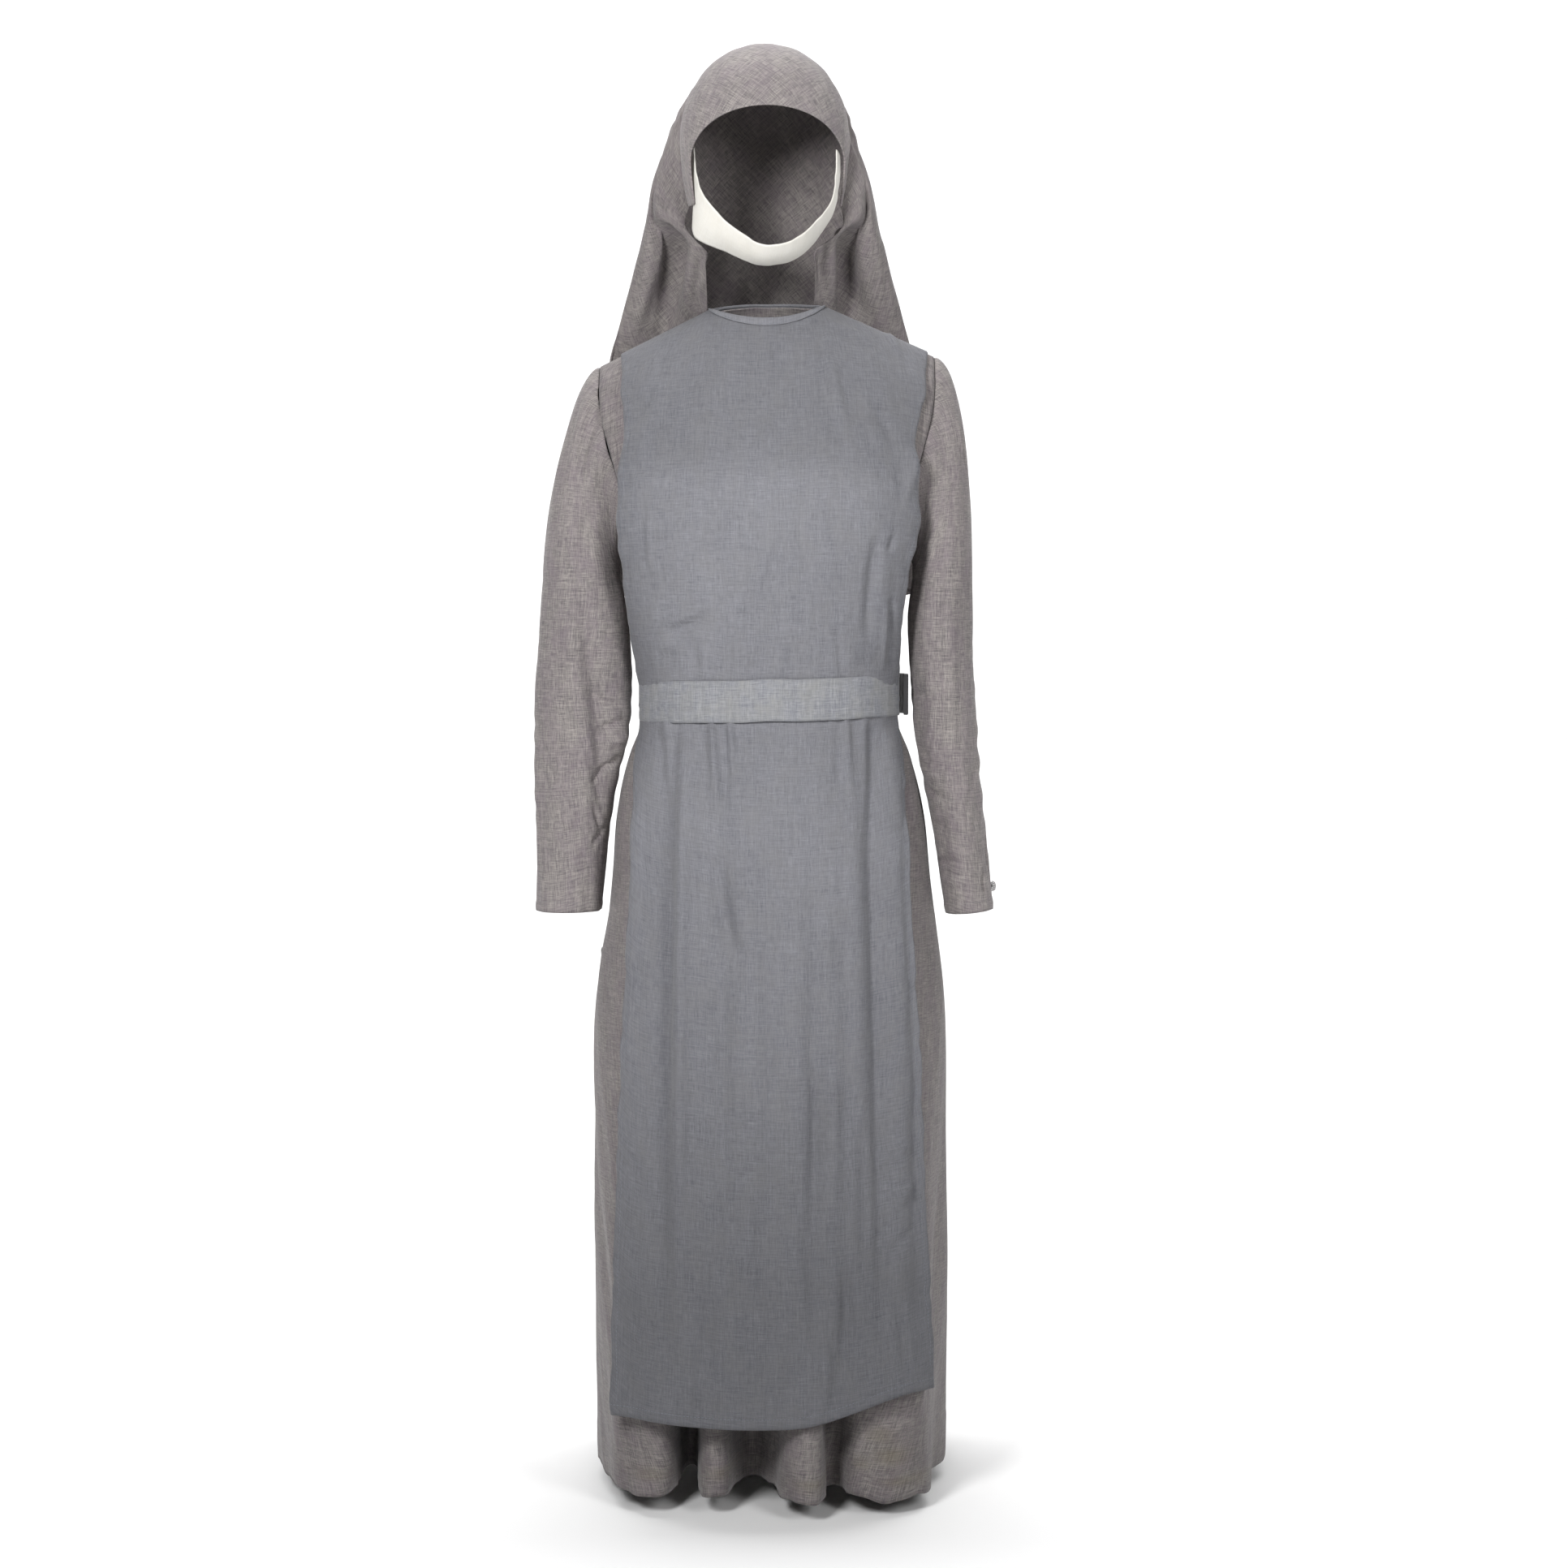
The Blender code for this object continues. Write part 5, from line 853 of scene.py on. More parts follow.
def linen(name, weave, stained=False):
    """A woven cloth material; its threads follow the map called flat, in metres."""
    look = bpy.data.materials.new(name)
    look.use_nodes = True
    tree = look.node_tree
    shader = tree.nodes["Principled BSDF"]

    def add(kind, inputs, **settings):
        made = tree.nodes.new(kind)
        for key, value in settings.items():
            setattr(made, key, value)
        for key, value in inputs.items():
            if isinstance(value, bpy.types.NodeSocket):
                tree.links.new(value, made.inputs[key])
            else:
                made.inputs[key].default_value = value
        return made.outputs

    def maths(operation, one, two, three=0.0):
        return add("ShaderNodeMath", {0: one, 1: two, 2: three}, operation=operation)[0]

    def noise(scale, detail=2.0, roughness=0.6):
        spread = add("ShaderNodeMapping", {"Vector": flat, "Scale": scale})[0]
        inputs = {"Vector": spread, "Scale": 1.0, "Detail": detail, "Roughness": roughness}
        return add("ShaderNodeTexNoise", inputs)[0]

    def mixed(fac, one, two):
        return add("ShaderNodeMix", {0: fac, 6: one, 7: two}, data_type="RGBA")[2]

    flat = add("ShaderNodeUVMap", {}, uv_map="flat")[0]
    if weave.bias:
        flat = add("ShaderNodeMapping", {"Vector": flat, "Rotation": (0.0, 0.0, math.radians(weave.bias))})[0]
    warp = noise((1250.0, 85.0, 1.0))
    weft = noise((85.0, 1250.0, 1.0))
    slub = noise((520.0, 20.0, 1.0), 1.0)
    cross_slub = noise((20.0, 520.0, 1.0), 1.0)
    mottle = noise((34.0, 22.0, 1.0), 4.0, 0.7)
    broad = noise((7.0, 3.0, 1.0), 2.0)
    threads = maths("ADD", maths("MULTIPLY", warp, 0.5), maths("MULTIPLY", weft, 0.5))
    slubs = maths("ADD", maths("MULTIPLY", slub, 0.5), maths("MULTIPLY", cross_slub, 0.5))
    spread = maths("MULTIPLY_ADD", maths("SUBTRACT", threads, 0.5), 2.2 * weave.contrast, 0.5)
    spread = maths("MULTIPLY_ADD", maths("SUBTRACT", slubs, 0.5), 1.1 * weave.contrast, spread)
    spread = maths("MULTIPLY_ADD", maths("SUBTRACT", broad, 0.5), 0.5, spread)
    fac = add("ShaderNodeClamp", {0: spread})[0]
    colour = mixed(fac, (*weave.dark, 1.0), (*weave.light, 1.0))
    tinted = add("ShaderNodeMapRange", {0: mottle, 1: 0.42, 2: 0.68, 3: 0.0, 4: 0.42})[0]
    colour = mixed(tinted, colour, (*weave.tint, 1.0))
    # Painted shade: a share at each point that mixes the colour towards black where shade falls
    painted_shade = add("ShaderNodeAttribute", {}, attribute_name="darker")[2]
    colour = mixed(painted_shade, colour, (0.0, 0.0, 0.0, 1.0))
    if stained:
        stain = add("ShaderNodeAttribute", {}, attribute_name="stain")[2]
        uneven = maths("MULTIPLY_ADD", mottle, 1.2, 0.2)
        colour = mixed(maths("MULTIPLY", stain, uneven), colour, (*STAIN, 1.0))
    tree.links.new(colour, shader.inputs["Base Color"])
    crumple = noise((24.0, 11.0, 1.0), 5.0, 0.62)
    soft = add("ShaderNodeBump", {"Height": crumple, "Strength": weave.crumple, "Distance": 0.012})[0]
    woven = {"Height": maths("ADD", threads, slubs), "Strength": 0.4, "Distance": 0.0006, "Normal": soft}
    bump = add("ShaderNodeBump", woven)[0]
    tree.links.new(bump, shader.inputs["Normal"])
    shader.inputs["Roughness"].default_value = 0.92
    shader.inputs["Specular IOR Level"].default_value = 0.25
    shader.inputs["Sheen Weight"].default_value = 0.12
    shader.inputs["Sheen Roughness"].default_value = 0.5
    return look


def plain(name, colour, roughness, metallic=0.0):
    """A material of one colour."""
    look = bpy.data.materials.new(name)
    look.use_nodes = True
    shader = look.node_tree.nodes["Principled BSDF"]
    shader.inputs["Base Color"].default_value = (*colour, 1.0)
    shader.inputs["Roughness"].default_value = roughness
    shader.inputs["Metallic"].default_value = metallic
    return look


def added(name, points, faces, look):
    """A smooth mesh of the garment, made from points and faces."""
    mesh = bpy.data.meshes.new(name)
    mesh.from_pydata(np.asarray(points, float).reshape(-1, 3).tolist(), [], faces)
    mesh.shade_smooth()
    mesh.materials.append(look)
    thing = bpy.data.objects.new(name, mesh)
    bpy.context.scene.collection.objects.link(thing)
    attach(thing, "root")
    return thing


def quads_of(index):
    """The four-cornered faces between the points of a grid of indices."""
    corners = [index[:-1, :-1], index[1:, :-1], index[1:, 1:], index[:-1, 1:]]
    return np.stack(corners, axis=-1).reshape(-1, 4)


def cloth(node, outer, normals, thickness, look, closed=False, level=0):
    """A closed cloth wall that takes the place of a solid; its flat map has row level as zero."""
    rows, columns = outer.shape[:2]
    count = rows * columns
    inner = outer - np.broadcast_to(thickness, (rows, columns))[..., None] * normals
    index = np.arange(count).reshape(rows, columns)
    if closed:
        index = np.concatenate([index, index[:, :1]], axis=1)
    quads = quads_of(index)
    rims = [index[0, ::-1], index[-1]]
    if not closed:
        rims += [index[:, 0], index[::-1, -1]]
    sides = [np.stack([rim[:-1], rim[:-1] + count, rim[1:] + count, rim[1:]], axis=-1) for rim in rims]
    faces = np.concatenate([quads, quads[:, ::-1] + count, *sides])
    across, down = arc_lengths(np.concatenate([outer, outer[:, :1]], axis=1) if closed else outer)
    across, down = smoothed(across, 6, 0), smoothed(down - down[level : level + 1], 12, 1)
    flat = np.stack([across, down], axis=-1)
    places = np.arange(rows * index.shape[1]).reshape(rows, -1)
    spots = quads_of(places)
    rim_spots = [places[0, ::-1], places[-1]]
    if not closed:
        rim_spots += [places[:, 0], places[::-1, -1]]
    side_spots = [np.stack([rim[:-1], rim[:-1], rim[1:], rim[1:]], axis=-1) for rim in rim_spots]
    spots = np.concatenate([spots, spots[:, ::-1], *side_spots])
    points = outer.reshape(-1, 3)
    a, b, c = (points[quads[:, k]] for k in range(3))
    if (np.cross(b - a, c - b) * normals.reshape(-1, 3)[quads[:, 0]]).sum() < 0:
        faces, spots = faces[:, ::-1], spots[:, ::-1]
    thing = added(node + "_cloth", np.concatenate([outer, inner]), faces.tolist(), look)
    flat_map = thing.data.uv_layers.new(name="flat")
    flat_map.data.foreach_set("uv", flat.reshape(-1, 2)[spots.ravel()].ravel())
    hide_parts(node)
    return thing


def stitches(name, rows, look, length=0.0026, gap=0.0016, width=0.0005):
    """Raised stitches along lines on the cloth; a row is its points with their normals."""
    points, faces = [], []
    for line, normals in rows:
        steps = np.linalg.norm(np.diff(line, axis=0), axis=1)
        at = np.concatenate([[0.0], np.cumsum(steps)])
        for start in np.arange(gap, at[-1] - length, length + gap):
            spots = (start, start + length)
            ends = [np.array([np.interp(s, at, line[:, k]) for k in range(3)]) for s in spots]
            up = np.array([np.interp(start, at, normals[:, k]) for k in range(3)])
            along = ends[1] - ends[0]
            size = np.linalg.norm(along)
            if size < 1e-6:
                continue
            side = np.cross(up, along / size) * width
            base = len(points)
            for end, lift in ((ends[0], 0.00005), ((ends[0] + ends[1]) / 2, 0.00045), (ends[1], 0.00005)):
                points += [end - side * 0.5, end + up * lift, end + side * 0.5, end - up * 0.0003]
            for k in (0, 4):
                for j in range(4):
                    a, b = base + k + j, base + k + (j + 1) % 4
                    faces.append((a, b, b + 4, a + 4))
            faces.append((base + 3, base + 2, base + 1, base))
            faces.append((base + 8, base + 9, base + 10, base + 11))
    return added(name, points, faces, look)


def tunic_points(side, turns):
    """The tunic's plain outer points, rows from the shoulders to the hem."""
    angles, hem = hem_line(turns, side)
    share = angles / 90.0
    way = -1.0 if side == "front" else 1.0
    top_x, top_z = top_edge(share, side)
    foot_x = ring_point(angles, ARMPIT_Z, side)[0]
    rows = []
    for turn in np.linspace(0.0, math.pi, YOKE_ROWS + 1)[:-1]:
        rise = (1.0 + math.cos(turn)) / 2.0
        z = ARMPIT_Z + rise * (top_z - ARMPIT_Z)
        straight = foot_x * (1.0 - rise) + top_x * rise
        off = armhole_x(rise) - (foot_x[-1] * (1.0 - rise) + SHOULDER_TIP_X * rise)
        x = straight + np.sign(share) * np.abs(share) ** 4 * off
        rows.append(np.stack([x, way * form_depth(x, z, side), z], axis=-1))
    for z in np.linspace(ARMPIT_Z, -NECK_TO_HEM, SKIRT_ROWS):
        rows.append(skirt_row(angles, hem, z, side))
    grid = np.array(rows)
    grid[..., 1] += way * SEAM / 2
    return grid


def tunic(look):
    """Both body panels, creased and hemmed; returns them and the rims of their armholes."""
    rims, sheets = {}, []
    plans = (
        ("front", FRONT_TURNS, TUNIC_FRONT_CREASES, FRONT_VALLEYS, 11),
        ("back", BACK_TURNS, TUNIC_BACK_CREASES, BACK_VALLEYS, 12),
    )
    for side, turns, creases, valleys, seed in plans:
        plain_grid = tunic_points(side, turns)
        normals = facing_out(plain_grid, grid_normals(plain_grid), spine_like(plain_grid))
        across, down = arc_lengths(plain_grid)
        x, z = plain_grid[..., 0], plain_grid[..., 2]
        free = smooth(WAIST_Z - 0.03, WAIST_Z - 0.30, z)
        off_middle = np.abs(across - across.mean(axis=1, keepdims=True))
        at_side = np.minimum(np.ptp(across, axis=1)[:, None] / 2 - off_middle, 1.0)
        loose = smooth(0.0, 0.03, at_side)
        height = 0.0016 * free * loose * ripples(across, down, seed, 0.045, 0.16, 9.0)
        height += 0.0003 * loose * ripples(across, down, seed + 50, 0.014, 0.040, 2.5)
        height += crease_height(creases, x, z) + TUNIC_VALLEY_GAIN * crease_height(valleys, x, z)
        height += seam_relief(at_side) * smooth(ARMPIT_Z + 0.02, ARMPIT_Z, z)
        height += hem_relief(down[-1] - down, TUNIC_HEM, 0.0005, 0.0007)
        outer = plain_grid + height[..., None] * normals
        outer[..., 1] = np.where(at_side < 0.002, plain_grid[..., 1], outer[..., 1])
        bottom = smooth(0.05, 0.0, down[-1] - down)
        outer[..., 2] += 0.0022 * bottom * ripples(across, 0 * across, seed + 80, 0.020, 0.120)
        if side == "front":
            corner = smooth(0.105, 0.130, x) * smooth(0.215, 0.200, x)
            outer[..., 2] -= smooth(0.12, 0.0, down[-1] - down) * (HEM_DROOP + 0.004 * corner)
        normals = facing_out(outer, grid_normals(outer), spine_like(outer))
        steps = YOKE_ROWS + 1
        shoulder = np.abs(outer[0, :, 0]) >= NECK_HALF_WIDTH - 1e-6
        normals[0, shoulder] = flattened(normals[0, shoulder], 1)
        normals[steps:, 0] = flattened(normals[steps:, 0], 1)
        normals[steps:, -1] = flattened(normals[steps:, -1], 1)
        inner = outer - TUNIC_WALL * normals
        thing = cloth(f"tunic_{side}", outer, normals, TUNIC_WALL, look, level=YOKE_ROWS)
        # Painted shade: the tunic is painted darker towards the hem, where the light falls off
        paint_shade(thing, outer, TUNIC_PAINTED_SHADE)
        if side == "front":
            stain(thing, outer)
        sheets.append((outer, normals))
        rims[side] = {
            "right": (outer[:steps, 0], inner[:steps, 0], outer[:steps, FINE]),
            "left": (outer[:steps, -1], inner[:steps, -1], outer[:steps, -1 - FINE]),
        }
    return rims, sheets


# Painted shade: how much darker the cloth is painted at a height, where the head and the folds shade it and
# where the light falls off lower down; the height at which it is so; and how much more it is painted darker
# towards a panel's edges, where the cloth turns from the light
PaintedShade = namedtuple("PaintedShade", "z darker at_edge")
SCAPULAR_PAINTED_SHADE = (
    PaintedShade(0.00, 0.22, 0.02),
    PaintedShade(-0.13, 0.21, 0.06),
    PaintedShade(-0.165, 0.18, 0.12),
    PaintedShade(-0.20, 0.02, 0.22),
    PaintedShade(-0.42, 0.04, 0.26),
    PaintedShade(-0.60, 0.06, 0.06),
    PaintedShade(-0.85, 0.22, 0.00),
    PaintedShade(-1.10, 0.46, 0.00),
    PaintedShade(-1.30, 0.46, 0.00),
)
VEIL_PAINTED_SHADE = (PaintedShade(0.32, 0.00, 0.0), PaintedShade(0.20, 0.05, 0.0), PaintedShade(0.12, 0.24, 0.0), PaintedShade(-0.10, 0.20, 0.0))
TUNIC_PAINTED_SHADE = (PaintedShade(-0.10, 0.06, 0.0), PaintedShade(-0.60, 0.06, 0.0), PaintedShade(-1.10, 0.26, 0.0), PaintedShade(-1.36, 0.32, 0.0))


def paint_shade(thing, outer, tones):
    """Paints shade into the cloth: sets how much darker it is at each point, from its height and how near the
    edge it is.
    """
    x, z = np.abs(outer[..., 0]), -outer[..., 2]
    heights = [-tone.z for tone in tones]
    value = np.interp(z, heights, [tone.darker for tone in tones])
    value += np.interp(z, heights, [tone.at_edge for tone in tones]) * (x / x.max(axis=1, keepdims=True)) ** 5
    data = thing.data.attributes.new("darker", "FLOAT", "POINT")
    data.data.foreach_set("value", np.tile(value.ravel(), 2))


# Old marks near the hem: where they are and how far they spread
Mark = namedtuple("Mark", "x z wide tall strength")
MARKS = (
    Mark(0.128, -1.268, 0.016, 0.008, 0.45),
    Mark(0.140, -1.292, 0.020, 0.010, 0.55),
    Mark(0.108, -1.300, 0.012, 0.007, 0.35),
    Mark(-0.050, -1.312, 0.018, 0.006, 0.40),
    Mark(0.052, -1.318, 0.022, 0.006, 0.40),
    Mark(0.160, -1.322, 0.030, 0.006, 0.45),
    Mark(-0.130, -1.314, 0.024, 0.006, 0.40),
    Mark(-0.100, -1.240, 0.010, 0.012, 0.25),
)


def stain(thing, outer):
    """Marks the tunic's stains as a value at each point."""
    value = np.zeros(outer.shape[:2])
    for mark in MARKS:
        off = ((outer[..., 0] - mark.x) / mark.wide) ** 2 + ((outer[..., 2] - mark.z) / mark.tall) ** 2
        value = np.maximum(value, mark.strength * np.exp(-off))
    value = np.where(outer[..., 1] < -0.03, value, 0.0)
    data = thing.data.attributes.new("stain", "FLOAT", "POINT")
    data.data.foreach_set("value", np.tile(value.ravel(), 2))


def sleeve(which, rims, sections, cap, creases, look):
    """A set-in sleeve, from the armhole to the cuff, with its elbow folds."""
    edge, _, before = armhole_ring(rims, which)
    way = -1.0 if which == "right" else 1.0
    onward = edge - before
    onward /= np.linalg.norm(onward, axis=1, keepdims=True)
    onward = onward * 0.5 + np.array((way * 0.5, 0.0, 0.0))
    onward /= np.linalg.norm(onward, axis=1, keepdims=True)
    turn = np.linspace(0.0, 2.0 * math.pi, len(edge), endpoint=False)
    edge, onward, turn = (np.roll(values, len(edge) // 2, axis=0) for values in (edge, onward, turn))
    height = (1.0 + np.cos(turn)) / 2.0
    gap = 2.4 * SEAM + 0.0012 * (1.0 - height[:, None]) ** 4
    start = edge + gap * onward

    def level_cut(z):
        cx, cy = follow(sections, "centre_x", z), follow(sections, "centre_y", z)
        across, along = follow(sections, "across", z), follow(sections, "along", z)
        x = cx + way * across * np.cos(turn)
        y = cy - along * np.sin(turn)
        slant = cap.cuff_slant * (x - cx) * smooth(-0.62, CUFF_Z, z)
        return np.stack([x, y, z - way * slant + 0 * x], axis=-1)

    first = level_cut(sections[0].z)
    leave = onward * (0.035 + cap.outward * height)[:, None]
    arrive = np.zeros(first.shape)
    arrive[:, 2] = -(0.03 + cap.downward * height)
    rows = []
    for t in np.linspace(0.0, 1.0, SLEEVE_CAP_ROWS):
        rows.append(
            start * (1 + 2 * t) * (1 - t) ** 2
            + first * t * t * (3 - 2 * t)
            + leave * t * (1 - t) ** 2
            - arrive * t * t * (1 - t)
        )
    for z in np.linspace(sections[0].z, CUFF_Z, SLEEVE_ROWS)[1:]:
        rows.append(level_cut(z))
    grid = np.array(rows)
    centre = grid.mean(axis=1, keepdims=True)
    normals = facing_out(grid, grid_normals(grid, closed=True), centre)
    _, down = arc_lengths(grid)
    degrees = np.broadcast_to(np.degrees(turn), grid.shape[:2])
    round_off = np.broadcast_to(turn, grid.shape[:2]) * 0.053
    loose = smooth(0.0, 0.03, down)
    seed = 21 if which == "right" else 22
    round_a, round_b = np.sin(turn) * 0.06 + 0 * down, np.cos(turn) * 0.06 + down
    relief = 0.0010 * loose * ripples(round_a, round_b, seed, 0.03, 0.10, 0.6)
    elbow = np.exp(-(((grid[..., 2] + 0.50) / 0.10) ** 2))
    relief += 0.0007 * elbow * loose * ripples(down, round_off * 0, seed + 5, 0.018, 0.045, 1.0)
    relief += SLEEVE_CREASE_GAIN * crease_height(creases, degrees, grid[..., 2], SLEEVE_DEGREE)
    relief += seam_relief(down)
    relief += hem_relief(down[-1] - down, CUFF_HEM, 0.0007, 0.0008)
    outer = grid + relief[..., None] * normals
    normals = facing_out(outer, grid_normals(outer, closed=True), centre)
    level = SLEEVE_CAP_ROWS - 1
    thing = cloth(f"sleeve_{which}", outer, normals, TUNIC_WALL, look, True, level)
    row = int(np.abs((down[-1] - down).mean(axis=1) - 0.0115).argmin())
    return outer[row], normals[row]


def scapular_points(side, table, troughs, hem):
    """The scapular's plain outer points, and which columns end at the neckline."""
    way = -1.0 if side == "front" else 1.0
    turn = np.linspace(-1.0, 1.0, SCAPULAR_COLUMNS + 1)
    past_neck = NECK_SHARE + (np.abs(turn) - 0.5) * 2 * (1 - NECK_SHARE)
    share = np.where(np.abs(turn) <= 0.5, turn * 2 * NECK_SHARE, np.sign(turn) * past_neck)

    def edges(z):
        return follow(table, "right_edge", z), follow(table, "left_edge", z)

    def across(z, spread):
        right, left = edges(z)
        out = np.abs(np.sin(spread * EDGE_CROWDING) / math.sin(EDGE_CROWDING))
        return np.where(spread < 0, right, left) * out

    def depth(x, z):
        return form_depth(
            x, z, side, follow(table, "ease", z), follow(table, "reach", z), follow(table, "square", z)
        )

    tip_z = float(shoulder_z(0.17))
    tip_right, tip_left = (float(x) for x in edges(tip_z))
    top_ease = follow(table, "ease", tip_z)
    top_x, top_z = top_edge(share, side, tip_right, tip_left, top_ease)
    rows = []
    foot_x = across(ARMPIT_Z, share)
    for turn in np.linspace(0.0, math.pi, YOKE_ROWS + 1):
        rise = (1.0 + math.cos(turn)) / 2.0
        z = ARMPIT_Z + rise * (top_z - ARMPIT_Z)
        x = foot_x * (1.0 - rise) + top_x * rise
        edge = np.where(share < 0, foot_x[0], foot_x[-1]) * (1.0 - rise)
        edge = edge + np.where(share < 0, tip_right, tip_left) * rise
        x = x + np.abs(share) ** 4 * (across(z, np.sign(share)) - edge)
        rows.append(np.stack([x, way * depth(x, z), z], axis=-1))
    corner = np.where(share < 0, hem.right, hem.left)
    hem_z = hem.centre + (corner - hem.centre) * smooth(0.04, 0.80, np.abs(share))
    for down in np.linspace(0.0, 1.0, SCAPULAR_ROWS)[1:]:
        z = ARMPIT_Z + down * (hem_z - ARMPIT_Z)
        x = across(z, share)
        y = depth(x, z) - trough_depth(troughs, share, z)
        rows.append(np.stack([x, way * y, z], axis=-1))
    grid = np.array(rows)
    grid[..., 1] += way * SEAM / 2
    return grid, np.abs(share) <= NECK_SHARE + 1e-6


def scapular(look, thread, tunic_sheets):
    """Both scapular panels with their turned edges, and the binding of the neck."""
    plans = (
        ("front", SCAPULAR_FRONT, FRONT_TROUGHS, FRONT_HEM, FRONT_CREASES, FRONT_VALLEYS, 31),
        ("back", SCAPULAR_BACK, BACK_TROUGHS, BACK_HEM, BACK_CREASES, BACK_VALLEYS, 32),
    )
    under = search_tree(*tunic_sheets)
    sheets, rows = [], []
    for side, table, troughs, hem, creases, valleys, seed in plans:
        way = -1.0 if side == "front" else 1.0
        grid, at_neck = scapular_points(side, table, troughs, hem)
        seam_y = grid[0, :, 1].copy()
        normals = facing_out(grid, grid_normals(grid), spine_like(grid))
        across, down = arc_lengths(grid)
        x, z = grid[..., 0], grid[..., 2]
        belted = np.exp(-(((z - WAIST_Z - BELT_TILT * x) / 0.026) ** 4))
        free = smooth(WAIST_Z - 0.03, WAIST_Z - 0.22, z)
        chest = smooth(WAIST_Z + 0.02, WAIST_Z + 0.12, z) * smooth(0.0, 0.05, down)
        loose = (1.0 - belted) * smooth(0.0, 0.02, down)
        height = 0.0015 * free * ripples(across, down, seed, 0.045, 0.15, 10.0)
        height += 0.0009 * chest * ripples(across, down, seed + 40, 0.045, 0.14, 3.5)
        height += 0.0002 * loose * ripples(across, down, seed + 60, 0.012, 0.035, 4.0)
        folds = CREASE_GAIN * crease_height(creases, x, z) + VALLEY_GAIN * crease_height(valleys, x, z)
        height += folds * (1.0 - belted)
        at_edge = np.minimum(across - across[:, :1], across[:, -1:] - across)
        height += hem_relief(at_edge, SCAPULAR_SIDE_HEM, 0.0004, 0.0005) * smooth(0.0, 0.01, down)
        height += hem_relief(down[-1] - down, SCAPULAR_HEM, 0.0004, 0.0006)
        wavy = smooth(0.045, 0.0, at_edge) * loose
        height += 0.0016 * wavy * ripples(down, 0 * down, seed + 70, 0.035, 0.12)
        grid = grid + height[..., None] * normals
        grid[..., 0] += 0.0010 * wavy * np.sign(x) * ripples(down, 0 * down, seed + 75, 0.02, 0.08)
        if side == "front":
            grid[..., 2] -= 0.7 * HEM_DROOP * smooth(0.12, 0.0, down[-1] - down)
        hung = smooth(WAIST_Z - 0.05, WAIST_Z - 0.14, grid[..., 2])
        outer = laid_over(grid, under, SCAPULAR_WALL + LAID_ON + HANGING_EASE * hung)
        outer[0, ~at_neck, 1] = seam_y[~at_neck]
        outer[..., 1] = way * np.maximum(way * outer[..., 1], SEAM / 2)
        normals = facing_out(outer, grid_normals(outer), spine_like(outer))
        shoulder = ~at_neck
        first = int(np.argmax(at_neck))
        shoulder[[first, len(at_neck) - 1 - first]] = True
        normals[0, shoulder] = flattened(normals[0, shoulder], 1)
        name = f"scapular_{side}"
        thing = cloth(name, outer, normals, SCAPULAR_WALL, look, level=YOKE_ROWS)
        # Painted shade: the chest top under the head's shadow, the flanks and the lower skirt are painted
        # darker
        paint_shade(thing, outer, SCAPULAR_PAINTED_SHADE)
        rows.append(binding(side, outer[:, at_neck], normals[:, at_neck], down[:, at_neck], look))
        rows += hem_stitches(outer, normals, across, down)
        sheets.append((outer, normals))
    stitches("scapular_stitches", rows, thread)
    return sheets


def hem_stitches(outer, normals, across, down):
    """The stitch lines of a panel's bottom and side hems."""
    low = int(np.abs((down[-1] - down).mean(axis=1) - 0.0095).argmin())
    rows = [(outer[low], normals[low])]
    from_right, from_left = across - across[:, :1], across[:, -1:] - across
    for off in (from_right, from_left):
        column = np.abs(off - 0.0065).argmin(axis=1)
        at = np.arange(len(column))
        keep = at[YOKE_ROWS // 8 : -4]
        rows.append((outer[keep, column[keep]], normals[keep, column[keep]]))
    return rows


def down_columns(values, down, distances):
    """Values of a grid at given distances below its top row, one row for each distance."""
    columns = range(values.shape[1])
    return np.array([
        [[np.interp(d, down[:, j], values[:, j, k]) for k in range(3)] for j in columns] for d in distances
    ])


def binding(side, outer, normals, down, look):
    """The narrow folded band along the scapular's neckline; returns its row of stitches."""
    depth = np.linspace(0.0, BINDING_WIDTH, 12)
    strip, away = down_columns(outer, down, depth), down_columns(normals, down, depth)
    away[0] = normals[0]
    share = depth / BINDING_WIDTH
    bulge = 0.0005 * np.sin(share * math.pi) ** 0.6 - 0.0003 * np.exp(-(((share - 0.8) / 0.09) ** 2))
    raised = strip + (SEAM + SCAPULAR_WALL + bulge)[:, None, None] * away
    thing = cloth(f"neck_binding_{side}", raised, away, SCAPULAR_WALL, look)
    row = int(0.8 * len(depth))
    return raised[row], away[row]


